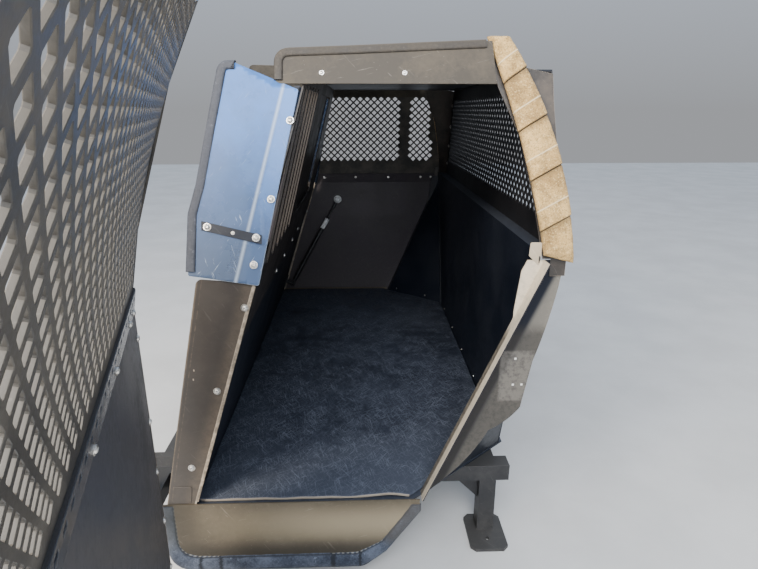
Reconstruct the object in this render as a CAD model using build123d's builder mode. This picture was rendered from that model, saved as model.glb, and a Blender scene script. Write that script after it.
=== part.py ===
from build123d import *
import math
import os

os.makedirs("parts", exist_ok=True)

# Millimetres. X runs to the rear of the car, Y across it with the open side at -Y, Z up from the feet.
sheet = 3.0              # aluminium sheet of the panels
deck_z = 200.0           # top of the mat
mat_thick = 6.0
belt_z = 700.0           # height where the two sides start to lean in
roof_z = 1071.0          # underside of the ceiling
side_y = 740.0           # outer face of the side panels below the belt
side_slope = 0.376       # how far the sides lean in for each millimetre above the belt
lean = math.atan(side_slope)

# Floor outline: front edge, rear edge, and where the wheel arches cut the rear corners.
floor_front = -357.0
floor_rear = 344.0
floor_half = 727.0
arch_start = 100.0
arch_half = 517.0

# Front partition, leaning rearward: foot, knee and top as (x, z).
front_foot = (floor_front, deck_z)
front_knee = (-207.0, 670.0)
front_top = (-100.0, roof_z)
seam_z = 560.0           # where the upper frame overlaps the lower panel

# Rear partition: lower panel, ledge and screen.
rear_x = 345.0
ledge_z = 735.0
screen_x = 378.0

# Door leaves, drawn closed on the near side, and their hinge line.
leaf_front = -436.0
leaf_rear = 372.0
leaf_y = 755.0           # inner face of the closed leaf
leaf_low = 115.0
guard_slope = 0.175      # the guard's inner face: straight from the belt to its bend, then curved, as (y, z)
guard_bend = (-750.4, 735.0)
guard_mid = (-711.5, 900.0)
guard_top = (-602.0, 1168.0)
guard_folds = 3          # flat strips that make the guard's curve
mesh_step = 86.1         # perforated sheet: pitch of the diamond holes along a row, three of the real ones
mesh_hole = 48.0         # and the side of one
mesh_reach = mesh_hole / math.sqrt(2)
hinge_x = -481.0
hinge_y = 860.0
open_angle = 74.0
hinge_heights = (270.0, 600.0)

# Base frame.
rail = 40.0
rail_wall = 2.5
rail_top = deck_z - mat_thick - sheet
leg_x = (-300.0, 300.0)
leg_y = 600.0
foot_bolt_y = 650.0
foot_bolt_r = 5.5
post_x = -470.0
post_y = 712.0

# Gas strut of the far leaf: its pin on the front partition and its stud on the leaf.
strut_foot = Vector(-312, 690, 238)
strut_head = Vector(-100, 735, 614)


def side_plane(offset=0.0):
    """Near side above the belt: local x along the car, local y up the slope, normal outward."""
    plane = Plane(origin=(0, -side_y, belt_z), x_dir=(1, 0, 0),
                  z_dir=(0, -math.cos(lean), math.sin(lean)))
    return plane.offset(offset)


def on_side(*points):
    """Turn (x, height) points into local points of the leaning side plane."""
    return [(x, (z - belt_z) / math.cos(lean)) for x, z in points]


def upright(y):
    """Vertical plane across the car at the given y: local x along the car, local y up, normal -Y."""
    return Plane.XZ.offset(-y)


def half_width(z):
    """Half the inside width of the insert at a height."""
    return side_y - sheet - side_slope * max(0.0, z - belt_z)


def save(part, name):
    part.label = name
    export_step(part, f"parts/{name}.step")


def save_pair(part, name):
    """Write a near-side piece and its mirror image on the far side."""
    save(part, f"{name}_near")
    with BuildPart() as opposite:
        mirror(part, about=Plane.XZ)
    save(opposite.part, f"{name}_far")


def save_pair_of_leaves(near, far, name):
    """Write a piece of the door leaves, both drawn closed on the near side: one swung open, one mirrored."""
    hinge = Axis((hinge_x, -hinge_y, 0), (0, 0, 1))
    save(near.rotate(hinge, -open_angle), f"{name}_near")
    with BuildPart() as opposite:
        mirror(far, about=Plane.XZ)
    save(opposite.part, f"{name}_far")


def guard_face(z):
    """(y, z) on the guard's inner face below its bend."""
    return (guard_bend[0] - guard_slope * (guard_bend[1] - z), z)


def floor_outline(grow=0.0):
    """Corners of the floor, with the rear ones cut away for the wheel arches."""
    return [(floor_front - grow, -floor_half - grow), (arch_start, -floor_half - grow),
            (floor_rear + grow, -arch_half - grow), (floor_rear + grow, arch_half + grow),
            (arch_start, floor_half + grow), (floor_front - grow, floor_half + grow)]


def slope_line(low, high, heights):
    """Points on the line through two (x, z) points, at the given heights."""
    rate = (high[0] - low[0]) / (high[1] - low[1])
    return [(low[0] + rate * (z - low[1]), z) for z in heights]


# Floor: mat, pan with turned-down edges, and the tube frame with its four bolted feet.
with BuildPart() as floor_mat:
    with BuildSketch(Plane.XY.offset(deck_z - mat_thick)):
        with BuildLine():
            Polyline(*floor_outline(), close=True)
        make_face()
        fillet(vertices(), 12)
    extrude(amount=mat_thick)
    chamfer(floor_mat.edges().group_by(Axis.Z)[-1], 1.5)
save(floor_mat.part, "floor_mat")

pan_edge = 30.0
pan_grow = side_y - sheet - floor_half
with BuildPart() as floor_pan:
    with BuildSketch(Plane.XY.offset(rail_top)):
        with BuildLine():
            Polyline(*floor_outline(), close=True)
        make_face()
        offset(amount=pan_grow, kind=Kind.INTERSECTION)
    extrude(amount=sheet)
    for y in (-side_y + sheet, side_y - 2 * sheet):
        with BuildSketch(upright(y)):
            with Locations(((floor_front - pan_grow + arch_start) / 2, rail_top - pan_edge / 2)):
                Rectangle(arch_start - floor_front + pan_grow, pan_edge)
        extrude(amount=-sheet)
save(floor_pan.part, "floor_pan")

side_rail = 840.0
cross_rails = ((post_x, 2 * post_y + rail), (leg_x[0], 2 * leg_y), (0, 2 * leg_y), (leg_x[1], 2 * leg_y))
rail_z = rail_top - rail / 2
rail_hole = rail - 2 * rail_wall
with BuildPart() as base_frame:
    for y in (-leg_y, leg_y):
        with Locations((-70, y, rail_z)):
            Box(side_rail, rail, rail)
    for x, length in cross_rails:
        with Locations((x, 0, rail_z)):
            Box(rail, length, rail)
    for y in (-leg_y, leg_y):
        with Locations((-70, y, rail_z)):
            Box(side_rail, rail_hole, rail_hole, mode=Mode.SUBTRACT)
    for x, length in cross_rails:
        with Locations((x, 0, rail_z)):
            Box(rail_hole, length, rail_hole, mode=Mode.SUBTRACT)
    for x in leg_x:
        for y in (-leg_y, leg_y):
            outward = math.copysign(foot_bolt_y - leg_y, y)
            with Locations((x, y, (rail_top - rail) / 2)):
                Box(rail, rail, rail_top - rail)
            with BuildSketch(Plane.XY):
                with Locations((x, y + outward / 2)):
                    Rectangle(90, 120)
                chamfer(vertices(), 12)
            extrude(amount=8)
            with Locations((x, y + outward, 8)):
                Hole(foot_bolt_r, depth=8)
            inward = math.copysign(rail / 2, -x)
            with BuildSketch(upright(y + rail_wall / 2)):
                with BuildLine():
                    Polyline((x + inward, rail_top - rail), (x + 4 * inward, rail_top - rail),
                             (x + inward, rail_top - 2.5 * rail), close=True)
                make_face()
            extrude(amount=rail_wall)
save(base_frame.part, "base_frame")

# Sill plate below the doorway, and the wide padded edging around its free edges.
sill_left = -424.0
sill_low = 26.0
sill_right = 122.0
sill_turn = (0.0, sill_low)      # where the bottom edge turns up, then bends up the wheel arch
sill_bend = (48.0, 66.0)
edging_side = 24.0       # width of the edging up the left end
edging_low = 42.0        # and along the bottom
edging_thick = 7.0
with BuildPart() as sill_plate:
    with BuildSketch(upright(-side_y)):
        with BuildLine():
            Polyline((sill_left, deck_z), (sill_left, sill_low), sill_turn, sill_bend, (sill_right, 170),
                     (sill_right, deck_z), close=True)
        make_face()
        fillet(vertices().sort_by_distance((sill_left, sill_low))[0], 60)
        for corner in (sill_turn, sill_bend):
            fillet(vertices().sort_by_distance(corner)[0], 40)
    extrude(amount=sheet)
save_pair(sill_plate.part, "sill_plate")

with BuildPart() as sill_trim:
    with BuildSketch(upright(-side_y)):
        with BuildLine():
            outer_turns = ((0, sill_low - 3), (50, 64))
            inner_turns = ((39, 96), (-14, sill_low + edging_low))
            outer_corner = (sill_left - 3, sill_low - 3)
            inner_corner = (sill_left + edging_side, sill_low + edging_low)
            Polyline((sill_left - 3, deck_z - 3), outer_corner, *outer_turns, (sill_right + 3, 169),
                     (sill_right + 3, deck_z - 12), (sill_right - 20, deck_z - 12), *inner_turns,
                     inner_corner, (inner_corner[0], deck_z - 3), close=True)
        make_face()
        fillet(vertices().sort_by_distance(outer_corner)[0], 62)
        fillet(vertices().sort_by_distance(inner_corner)[0], 48)
        for corner in outer_turns + inner_turns:
            fillet(vertices().sort_by_distance(corner)[0], 36)
    extrude(amount=edging_thick)
    add(sill_plate.part, mode=Mode.SUBTRACT)
save_pair(sill_trim.part, "sill_trim")

# Front partition: lower panel, and the upper frame with a barred window and a sliding-door opening.
with BuildPart() as front_panel:
    with BuildSketch(Plane.XZ):
        with BuildLine():
            Polyline(front_foot, front_knee, (front_knee[0] - sheet, front_knee[1]),
                     (front_foot[0] - sheet, deck_z), (front_foot[0] - 10, deck_z - sheet),
                     (front_foot[0] - 10, deck_z - 2 * sheet), (front_foot[0], deck_z - 2 * sheet),
                     close=True)
        make_face()
    extrude(amount=half_width(0), both=True)
save(front_panel.part, "front_panel")

rise = front_top[1] - front_knee[1]
run = front_top[0] - front_knee[0]
upper_plane = Plane(origin=(front_knee[0], 0, front_knee[1]), x_dir=(0, 1, 0), z_dir=(rise, 0, -run))
stretch = math.hypot(rise, run) / rise


def up_front(*points):
    """Turn (y, height) points into local points of the upper front plane."""
    return [(y, (z - front_knee[1]) * stretch) for y, z in points]


window_low = 700.0
window_high = 1040.0
window_end = -190.0
bar_first = -596.0
bar_step = 73.0
bar_count = 6
bar_width = 25.0
bar_thick = 5.0
pass_left = -60.0
pass_right = 400.0
seam_half = half_width(0) - 24
with BuildPart() as front_frame:
    with BuildSketch(Plane.XZ):
        with BuildLine():
            low, knee = slope_line(front_foot, front_knee, (seam_z, front_knee[1]))
            Polyline(low, knee, (knee[0] + sheet, knee[1]), (low[0] + sheet, low[1]), close=True)
        make_face()
    extrude(amount=seam_half, both=True)
    with BuildSketch(upper_plane):
        with BuildLine():
            Polyline(*up_front((-seam_half, front_knee[1]), (seam_half, front_knee[1]),
                               (half_width(790), 790), (half_width(roof_z) - 1, roof_z),
                               (-half_width(roof_z) + 1, roof_z), (-half_width(790), 790)), close=True)
        make_face()
        with BuildLine():
            Polyline(*up_front((-698, window_low), (window_end, window_low), (window_end, window_high),
                               (-588, window_high)), close=True)
        make_face(mode=Mode.SUBTRACT)
        with BuildLine():
            Polyline(*up_front((pass_left, window_low), (pass_right, window_low), (pass_right, window_high),
                               (pass_left, window_high)), close=True)
        make_face(mode=Mode.SUBTRACT)
    extrude(amount=sheet)
    for bar in range(bar_count):
        with BuildSketch(upper_plane):
            bar_y = bar_first + bar * bar_step
            with BuildLine():
                Polyline(*up_front((bar_y, window_low - 8), (bar_y + bar_width, window_low - 8),
                                   (bar_y + bar_width, window_high + 8), (bar_y, window_high + 8)),
                         close=True)
            make_face()
        extrude(amount=bar_thick)
save(front_frame.part, "front_frame")

# Sliding door on the front face, in a channel above and one below.
groove = 14.0
channel_wall = 3.0
channel_depth = groove + 2 * channel_wall
channel_high = 20.0
track_rows = ((window_low - 24, -700, 660, 1), (window_high + 10, -575, 575, -1))
with BuildPart() as door_tracks:
    for track_z, left, right, mouth in track_rows:
        base = (track_z - front_knee[1]) * stretch
        with Locations(upper_plane):
            with Locations(((left + right) / 2, base + channel_high / 2, -channel_depth / 2)):
                Box(right - left, channel_high, channel_depth)
            with Locations(((left + right) / 2, base + channel_high / 2 + mouth * channel_wall,
                            -channel_depth / 2)):
                Box(right - left, channel_high, groove, mode=Mode.SUBTRACT)
save(door_tracks.part, "door_tracks")

door_left = -90.0
door_right = 430.0
door_low = (track_rows[0][0] - front_knee[1]) * stretch + channel_wall + 5
door_high = (track_rows[1][0] - front_knee[1]) * stretch + channel_high - channel_wall - 5
door_depth = -channel_depth / 2
with BuildPart() as slide_door:
    with BuildSketch(upper_plane.offset(door_depth - sheet / 2)):
        with Locations(((door_left + door_right) / 2, (door_low + door_high) / 2)):
            RectangleRounded(door_right - door_left, door_high - door_low, 6)
    extrude(amount=sheet)
    for y in (door_left + 30, door_right - 30):
        for s in (door_low + 5, door_high - 5):
            with Locations(upper_plane):
                with Locations((y, s, door_depth)):
                    Box(36, 14, groove - 1)
    for y in (door_left + 6, door_right - 6):
        with Locations(upper_plane):
            with Locations((y, (door_low + door_high) / 2, door_depth - 8)):
                Box(4, door_high - door_low - 60, 16)
save(slide_door.part, "slide_door")

with BuildPart() as door_handle:
    with BuildSketch(upper_plane.offset(door_depth - sheet / 2)):
        for s in (150, 270):
            with Locations((door_left + 70, s)):
                RegularPolygon(6, 8)
    extrude(amount=-34)
    with BuildSketch(upper_plane.offset(door_depth - sheet / 2 - 28)):
        with Locations((door_left + 70, 210)):
            Rectangle(14, 140)
        chamfer(vertices(), 4)
    extrude(amount=-12)
save(door_handle.part, "door_handle")

# Front wings: a folded lower panel, the clear sheet above it with its rubber edge, and a clamp bar.
with BuildPart() as front_wing:
    with BuildSketch(upright(-side_y + sheet)):
        with BuildLine():
            wing_foot, wing_head = slope_line(front_foot, front_knee, (rail_top - pan_edge, 690))
            Polyline((sill_left, rail_top - pan_edge), (wing_foot[0] + sheet, wing_foot[1]),
                     (wing_head[0] + sheet, wing_head[1]), (-305, 699), close=True)
        make_face()
        fillet(vertices().sort_by_distance((-305, 699))[0], 12)
    extrude(amount=sheet)
    with BuildSketch(upright(-side_y + sheet)):
        with BuildLine():
            low, high = slope_line((sill_left, rail_top - pan_edge), (-305, 699), (172, 682))
            Polyline(low, high, (high[0] + sheet, high[1]), (low[0] + sheet, low[1]), close=True)
        make_face()
    extrude(amount=-24)
    with BuildSketch(upright(-side_y + sheet)):
        with BuildLine():
            low, high = slope_line(front_foot, front_knee, (deck_z + 3, 664))
            Polyline(low, high, (high[0] + sheet, high[1]), (low[0] + sheet, low[1]), close=True)
        make_face()
    extrude(amount=-20)
save_pair(front_wing.part, "front_wing")

clear_thick = 4.0
clear_kinks = ((-316.0, 812.0), (-302.0, 862.0))     # where the front edge leans back above its foot
clear_top_left = (-262.0, 1083.0)
with BuildPart() as clear_wing:
    with BuildSketch(side_plane()):
        with BuildLine():
            Polyline(*on_side((-319, 705), (-190, 687), (-114, 1036), (-160, 1042), (-172, 1049),
                              (-234, 1083), clear_top_left, clear_kinks[1], clear_kinks[0]), close=True)
        make_face()
        fillet(vertices().sort_by_distance(on_side(clear_top_left)[0])[0], 16)
    extrude(amount=clear_thick)
save_pair(clear_wing.part, "clear_wing")

with BuildPart() as clear_trim:
    with BuildSketch(side_plane(-5)):
        with BuildLine():
            FilletPolyline(*on_side((-314, 712), (clear_kinks[0][0] + 5, clear_kinks[0][1]),
                                    (clear_kinks[1][0] + 5, clear_kinks[1][1]), (-257, 1078), (-232, 1078)),
                           radius=18)
        trace(line_width=18)
    extrude(amount=clear_thick + 9)
    add(clear_wing.part, mode=Mode.SUBTRACT)
save_pair(clear_trim.part, "clear_trim")

with BuildPart() as wing_bar:
    with BuildSketch(side_plane(clear_thick)):
        with BuildLine():
            Polyline(*on_side((-294, 800), (-183, 775), (-183, 759), (-294, 784)), close=True)
        make_face()
    extrude(amount=3)
save_pair(wing_bar.part, "wing_bar")

# Rear partition: lower panel with its ledge, and the perforated screen above.
ledge_half = 706.0
with BuildPart() as rear_panel:
    with BuildSketch(Plane.YZ.offset(rear_x)):
        with BuildLine():
            Polyline((-arch_half, deck_z - mat_thick), (arch_half, deck_z - mat_thick), (ledge_half, ledge_z),
                     (-ledge_half, ledge_z),
                     close=True)
        make_face()
    extrude(amount=sheet)
    with BuildSketch(Plane.XY.offset(ledge_z - sheet)):
        with Locations(((rear_x + screen_x) / 2 + sheet / 2, 0)):
            Rectangle(screen_x - rear_x + sheet, 2 * ledge_half)
    extrude(amount=sheet)
save(rear_panel.part, "rear_panel")


def diamond_centres(low, high, left, right_at):
    """Staggered rows of diamond centres between two heights, from the left line to the right one."""
    centres = []
    for row in range(int((high - low) / (mesh_step / 2)) + 1):
        height = low + row * mesh_step / 2
        across = left + (mesh_step / 2 if row % 2 else 0.0)
        while across <= right_at(height):
            centres.append((across, height))
            across += mesh_step
    return centres


def screen_half(z):
    return half_width(z) - 17.4


screen_low = 800.0       # lowest row of holes
with BuildPart() as rear_screen:
    with BuildSketch(Plane.YZ.offset(screen_x)):
        with BuildLine():
            Polyline((-screen_half(ledge_z), ledge_z), (screen_half(ledge_z), ledge_z),
                     (screen_half(roof_z), roof_z), (-screen_half(roof_z), roof_z), close=True)
        make_face()
        columns = int((screen_half(roof_z) - mesh_reach) / mesh_step)
        screen_rows = diamond_centres(screen_low, roof_z - mesh_reach - 16, -columns * mesh_step,
                                      lambda z: columns * mesh_step)
        with Locations(*screen_rows):
            Rectangle(mesh_hole, mesh_hole, rotation=45, mode=Mode.SUBTRACT)
    extrude(amount=sheet)
    with BuildSketch(Plane.XY.offset(roof_z - sheet)):
        with Locations((screen_x - 10 + sheet, 0)):
            Rectangle(20, 2 * screen_half(roof_z))
    extrude(amount=sheet)
save(rear_screen.part, "rear_screen")

# Rear wings: the face beside the wheel arch, the lip along the doorway, and the sloping arch panel.
face_y = 708.0
lip_depth = 33.0
arch_foot = 521.0
lip_low = (127.0, deck_z - 6)
lip_high = (354.6, 722.0)
with BuildPart() as rear_wing:
    with BuildSketch(upright(-face_y)):
        with BuildLine():
            Polyline(lip_low, lip_high, (394, lip_high[1]), (388, 670))
            ThreePointArc((388, 670), (371, 585), (350, 508))
            Line((350, 508), (332, 402))
            ThreePointArc((332, 402), (305, 372), (268, 348))
            ThreePointArc((268, 348), (240, 300), (190, 240))
            Polyline((190, 240), (141, lip_low[1]), lip_low)
        make_face()
        with BuildLine():
            Polyline(lip_high, (322, lip_high[1]), (312, 700), (303, 620), (303, 602), close=True)
        make_face()
    extrude(amount=sheet)
    with BuildSketch(upright(-face_y)):
        with BuildLine():
            Polyline(lip_low, lip_high, (lip_high[0] + sheet * 1.1, lip_high[1]),
                     (lip_low[0] + sheet * 1.1, lip_low[1]), close=True)
        make_face()
    extrude(amount=lip_depth)
    arch_plane = Plane(origin=(lip_low[0], -face_y, lip_low[1]),
                       x_dir=(rear_x - lip_low[0], face_y - arch_foot, 0),
                       z_dir=Vector(rear_x - lip_low[0], face_y - arch_foot, 0).cross(
                           Vector(lip_high[0] - lip_low[0], 0, lip_high[1] - lip_low[1])))
    foot_run = math.hypot(rear_x - lip_low[0], face_y - arch_foot)
    head = arch_plane.to_local_coords(Vector(lip_high[0], -face_y, lip_high[1]))
    with BuildSketch(arch_plane):
        with BuildLine():
            Polyline((0, 0), (foot_run, 0), (head.X, head.Y), close=True)
        make_face()
    extrude(amount=sheet)
    with Locations((rear_x + 40, 0, 500)):
        Box(80, 2 * face_y - 8, 1200, mode=Mode.SUBTRACT)
    with Locations((rear_x, -face_y, lip_low[1] - 10)):
        Box(600, 400, 20, mode=Mode.SUBTRACT)
save_pair(rear_wing.part, "rear_wing")

# Rear posts in the leaning sides, and the padded sleeve on the doorway's rear upper edge.
post_back = -19.0
with BuildPart() as rear_post:
    with BuildSketch(side_plane(post_back)):
        with BuildLine():
            Polyline(*on_side((350, 731), (397, 731), (399, 748), (387, 880), (381, 1020), (381, roof_z),
                              (330, roof_z + 12), (292, 1120), (252, 1120), (272, 1045), (312, 955),
                              (334, 845)), close=True)
        make_face()
    extrude(amount=sheet)
    with BuildSketch(upright(-face_y - sheet)):
        with Locations((381, 710)):
            Rectangle(30, 38)
    extrude(amount=sheet)
save_pair(rear_post.part, "rear_post")

pad_front = ((349, 742), (308, 958), (250, 1136))
pad_rear = ((293, 1136), (373, 962), (406, 742))
pad_thick = 20.0
with BuildPart() as edge_pad:
    with BuildSketch(side_plane(post_back + sheet + 0.5)):
        with BuildLine():
            front_edge = on_side(*pad_front)
            rear_edge = on_side(*pad_rear)
            ThreePointArc(*front_edge)
            Line(front_edge[-1], rear_edge[0])
            ThreePointArc(*rear_edge)
            Line(rear_edge[-1], front_edge[0])
        make_face()
    extrude(amount=pad_thick - 7)
    extrude(edge_pad.faces().sort_by(Axis.Y)[0], amount=7, taper=40)
save_pair(edge_pad.part, "edge_pad")

# Ceiling, side headers and their rubber edging.
with BuildPart() as ceiling_panel:
    with BuildSketch(Plane.XY.offset(roof_z)):
        with BuildLine():
            wide = half_width(roof_z) - 1
            narrow = wide - 18
            Polyline((front_top[0] - 6, -wide), (240, -wide), (240, -narrow), (screen_x + sheet, -narrow),
                     (screen_x + sheet, narrow), (240, narrow), (240, wide), (front_top[0] - 6, wide),
                     close=True)
        make_face()
    extrude(amount=sheet)
    for y in (-200, 200):
        with BuildSketch(Plane.XY.offset(roof_z + sheet)):
            with Locations(((front_top[0] + screen_x) / 2, y)):
                Rectangle(screen_x - front_top[0] - 90, 26)
        extrude(amount=5, taper=35)
save(ceiling_panel.part, "ceiling_panel")

header_low = 1045.0
header_left = -157.0
header_right = 264.0
with BuildPart() as header:
    with BuildSketch(side_plane()):
        with BuildLine():
            Polyline(*on_side((header_left, header_low), (header_right, header_low), (header_right - 6, 1124),
                              (-20, 1110), (header_left, 1104)), close=True)
        make_face()
        fillet(vertices().sort_by_distance(on_side((header_left, 1104))[0])[0], 26)
    extrude(amount=sheet)
    with BuildSketch(Plane.XY.offset(roof_z + sheet)):
        with Locations(((header_left + header_right) / 2 + 20, -half_width(roof_z) + 12)):
            Rectangle(header_right - header_left - 70, 30)
    extrude(amount=sheet)
save_pair(header.part, "header")

with BuildPart() as header_trim:
    with BuildSketch(side_plane(-4)):
        with BuildLine():
            FilletPolyline(*on_side((header_left + 5, header_low + 6), (header_left + 5, 1101), (-20, 1106),
                                    (header_right - 18, 1118)), radius=22)
        trace(line_width=17)
    extrude(amount=sheet + 8)
    add(header.part, mode=Mode.SUBTRACT)
save_pair(header_trim.part, "header_trim")

# Hinge posts at the front corners, each with two forks that hold the leaf's pins.
fork_gap = 8.0
fork_thick = 7.0
pin_r = 5.0
with BuildPart() as hinge_post:
    with Locations((post_x, -post_y, (rail_top + 690) / 2)):
        Box(rail, rail, 690 - rail_top)
    with Locations((post_x, -post_y, (rail_top + 690) / 2 + 20)):
        Box(rail - 2 * rail_wall, rail - 2 * rail_wall, 690 - rail_top, mode=Mode.SUBTRACT)
    for height in hinge_heights:
        for low in (height + fork_gap, height - fork_gap - fork_thick):
            with BuildSketch(Plane.XY.offset(low)):
                with BuildLine():
                    Polyline((hinge_x, -hinge_y), (post_x, -post_y - rail / 2 + 1))
                trace(line_width=24)
                with Locations((hinge_x, -hinge_y)):
                    RegularPolygon(13, 12)
            extrude(amount=fork_thick)
        with Locations((hinge_x, -hinge_y, height)):
            Cylinder(pin_r, 2 * (fork_gap + fork_thick) + 6)
    with BuildSketch(upright(-side_y + 26)):
        with BuildLine():
            low, high = slope_line((sill_left, rail_top - pan_edge), (-305, 699), (288, 312))
            Polyline((post_x, low[1]), low, high, (post_x, high[1]), close=True)
        make_face()
    extrude(amount=18)
save_pair(hinge_post.part, "hinge_post")

# Door leaves: the solid liner, the perforated window guard above it, and the hinge arms.
flange = 12.0
with BuildPart() as leaf_liner:
    with BuildSketch(upright(-leaf_y)) as liner_face:
        with BuildLine():
            Polyline((leaf_front, leaf_low), (104, leaf_low), (150, 180), (leaf_rear - 22, 520),
                     (leaf_rear, 610), (leaf_rear, belt_z), (leaf_front, belt_z), close=True)
        make_face()
        fillet(vertices().group_by(Axis.Y)[0], 22)
    extrude(amount=flange)
    with BuildSketch(upright(-leaf_y - sheet)):
        add(liner_face.sketch)
        offset(amount=-sheet)
    extrude(amount=flange, mode=Mode.SUBTRACT)
    with Locations((-65, -leaf_y - sheet - 2, 420)):
        Box(660, 4, 24)
    with BuildSketch(Plane.YZ.offset(leaf_front + 4)):
        with BuildLine():
            low, high = guard_face(belt_z - 10), guard_face(belt_z + 28)
            Polyline(low, high, (high[0] + sheet, high[1]), (low[0] + sheet, low[1]), close=True)
        make_face()
    extrude(amount=leaf_rear - leaf_front - 8)
save_pair_of_leaves(leaf_liner.part, leaf_liner.part, "leaf_liner")

guard_plane_y = -guard_face(belt_z + 4)[0] + 40
guard_outline = ((leaf_front + 4, belt_z + 4), (368, belt_z + 4), (362, 940), (334, 1112), (60, 1152),
                 (leaf_front + 4, 1165))


def guard_part(hole_rows):
    """The guard on the closed near leaf, folded along its curve, with diamond holes at (x, z) centres."""
    curve = Edge.make_three_point_arc(guard_bend, guard_mid, guard_top)
    folds = curve.positions([k / guard_folds for k in range(guard_folds + 1)])
    inner = [guard_face(belt_z + 4)] + [(fold.X, fold.Y) for fold in folds]
    outer = [(y - sheet, z) for y, z in reversed(inner)]
    with BuildPart() as guard:
        with BuildSketch(Plane.YZ.offset(leaf_front + 4)):
            with BuildLine():
                Polyline(*inner, *outer, close=True)
            make_face()
        extrude(amount=leaf_rear - leaf_front)
        with BuildSketch(upright(-guard_plane_y)):
            with BuildLine():
                Polyline(*guard_outline, close=True)
            make_face()
            fillet(vertices().group_by(Axis.Y)[-1] + vertices().group_by(Axis.Y)[-2], 24)
            with Locations(*hole_rows):
                Rectangle(mesh_hole, mesh_hole, rotation=45, mode=Mode.SUBTRACT)
        extrude(amount=-300, mode=Mode.INTERSECT)
    return guard.part


# The near guard is open all over; the far one has two windows with a bar between them.
full_low, full_high, full_left, full_right = 764.0, 1110.0, -388.0, 325.0
top_fall = (guard_outline[4][0] - guard_outline[3][0]) / (guard_outline[4][1] - guard_outline[3][1])
window_low_row, window_high_row = 820.0, 1016.0


def full_end(z):
    """How far to the rear a row of the near guard goes, inside its rear and its sloping top edge."""
    below_top = guard_outline[4][0] + top_fall * (z + mesh_reach + 6 - guard_outline[4][1])
    return min(full_right - 0.13 * (z - full_low), below_top)


full_rows = diamond_centres(full_low, full_high, full_left, full_end)
main_rows = diamond_centres(window_low_row, window_high_row, -371.0, lambda z: 141.0)
small_rows = diamond_centres(window_low_row, window_high_row, 240.0,
                             lambda z: 288 - 0.11 * (z - window_low_row))
save_pair_of_leaves(guard_part(full_rows), guard_part(main_rows + small_rows), "leaf_guard")

knuckle_r = 11.0
with BuildPart() as leaf_hinges:
    for height in hinge_heights:
        with BuildSketch(Plane.XY.offset(height - 6)):
            with Locations((hinge_x, -hinge_y)):
                Circle(knuckle_r)
            with BuildLine():
                Polyline((hinge_x, -hinge_y), (-412, -leaf_y - 8))
            trace(line_width=16)
            with BuildLine():
                Polyline((-428, -leaf_y - sheet), (-388, -leaf_y - sheet), (-388, -leaf_y - 9),
                         (-428, -leaf_y - 9), close=True)
            make_face()
        extrude(amount=12)
        with Locations((-408, -leaf_y - sheet - 2.5, height)):
            Box(40, 5, 60)
        with Locations((hinge_x, -hinge_y, height)):
            Cylinder(pin_r + 0.4, 40, mode=Mode.SUBTRACT)
        with Locations((-408, -leaf_y, height)):
            Box(60, 2 * sheet, 80, mode=Mode.SUBTRACT)
save_pair_of_leaves(leaf_hinges.part, leaf_hinges.part, "leaf_hinges")

# Gas strut that swings the far leaf: foot bracket with its pin, cylinder, rod, and the stud on the leaf.
strut_line = (strut_head - strut_foot).normalized()
swing = math.radians(open_angle)
reach_x, reach_y = strut_head.X - hinge_x, strut_head.Y - hinge_y
strut_head_open = Vector(hinge_x + reach_x * math.cos(swing) - reach_y * math.sin(swing),
                         hinge_y + reach_x * math.sin(swing) + reach_y * math.cos(swing), strut_head.Z)
strut_open_line = (strut_head_open - strut_foot).normalized()
strut_axis = strut_line.cross(strut_open_line).normalized()
strut_length = (strut_head - strut_foot).length
front_normal = Vector(front_knee[1] - front_foot[1], 0, front_foot[0] - front_knee[0]).normalized()
foot_height = (strut_foot - Vector(front_foot[0], 0, front_foot[1])).dot(front_normal)
stud_reach = -foot_height / strut_axis.dot(front_normal)
stud_base = strut_foot + strut_axis * stud_reach
pin_plane = Plane(origin=strut_foot, x_dir=strut_line, z_dir=strut_axis)
stud_plane = Plane(origin=stud_base, x_dir=strut_line, z_dir=-strut_axis)


def along_strut(distance):
    """Plane square to the strut, at a distance from its foot pin."""
    return Plane(origin=strut_foot + strut_line * distance, x_dir=strut_axis, z_dir=strut_line)


eye_half = 5.0
with BuildPart() as strut_bracket:
    with BuildSketch(Plane(origin=stud_base, x_dir=(0, 1, 0), z_dir=front_normal)):
        Rectangle(50, 46)
        chamfer(vertices(), 6)
    extrude(amount=4)
    with BuildSketch(stud_plane):
        Circle(8)
    extrude(amount=stud_reach - eye_half - 0.5)
    with BuildSketch(stud_plane):
        Circle(4.5)
    extrude(amount=stud_reach + eye_half + 6)
    with BuildSketch(stud_plane.offset(stud_reach + eye_half + 0.8)):
        RegularPolygon(7, 6)
    extrude(amount=5)
    with BuildSketch(Plane(origin=stud_base, x_dir=(0, 1, 0), z_dir=-front_normal)):
        Rectangle(90, 90)
    extrude(amount=20, mode=Mode.SUBTRACT)
save(strut_bracket.part, "strut_bracket")

cylinder_r = 9.5
cylinder_start = 22.0
cylinder_end = 340.0
rod_r = 4.0
with BuildPart() as strut_cylinder:
    with BuildSketch(pin_plane.offset(-eye_half)):
        Circle(9)
    extrude(amount=2 * eye_half)
    with BuildSketch(along_strut(0)):
        Circle(4.4)
    extrude(amount=cylinder_start + 4)
    with BuildSketch(pin_plane.offset(-eye_half - 1)):
        Circle(5)
    extrude(amount=2 * eye_half + 2, mode=Mode.SUBTRACT)
    with BuildSketch(along_strut(cylinder_start)):
        Circle(cylinder_r)
    extrude(amount=cylinder_end - cylinder_start)
    with BuildSketch(along_strut(cylinder_start + 20)):
        Circle(rod_r + 0.4)
    extrude(amount=cylinder_end, mode=Mode.SUBTRACT)
save(strut_cylinder.part, "strut_cylinder")

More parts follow.
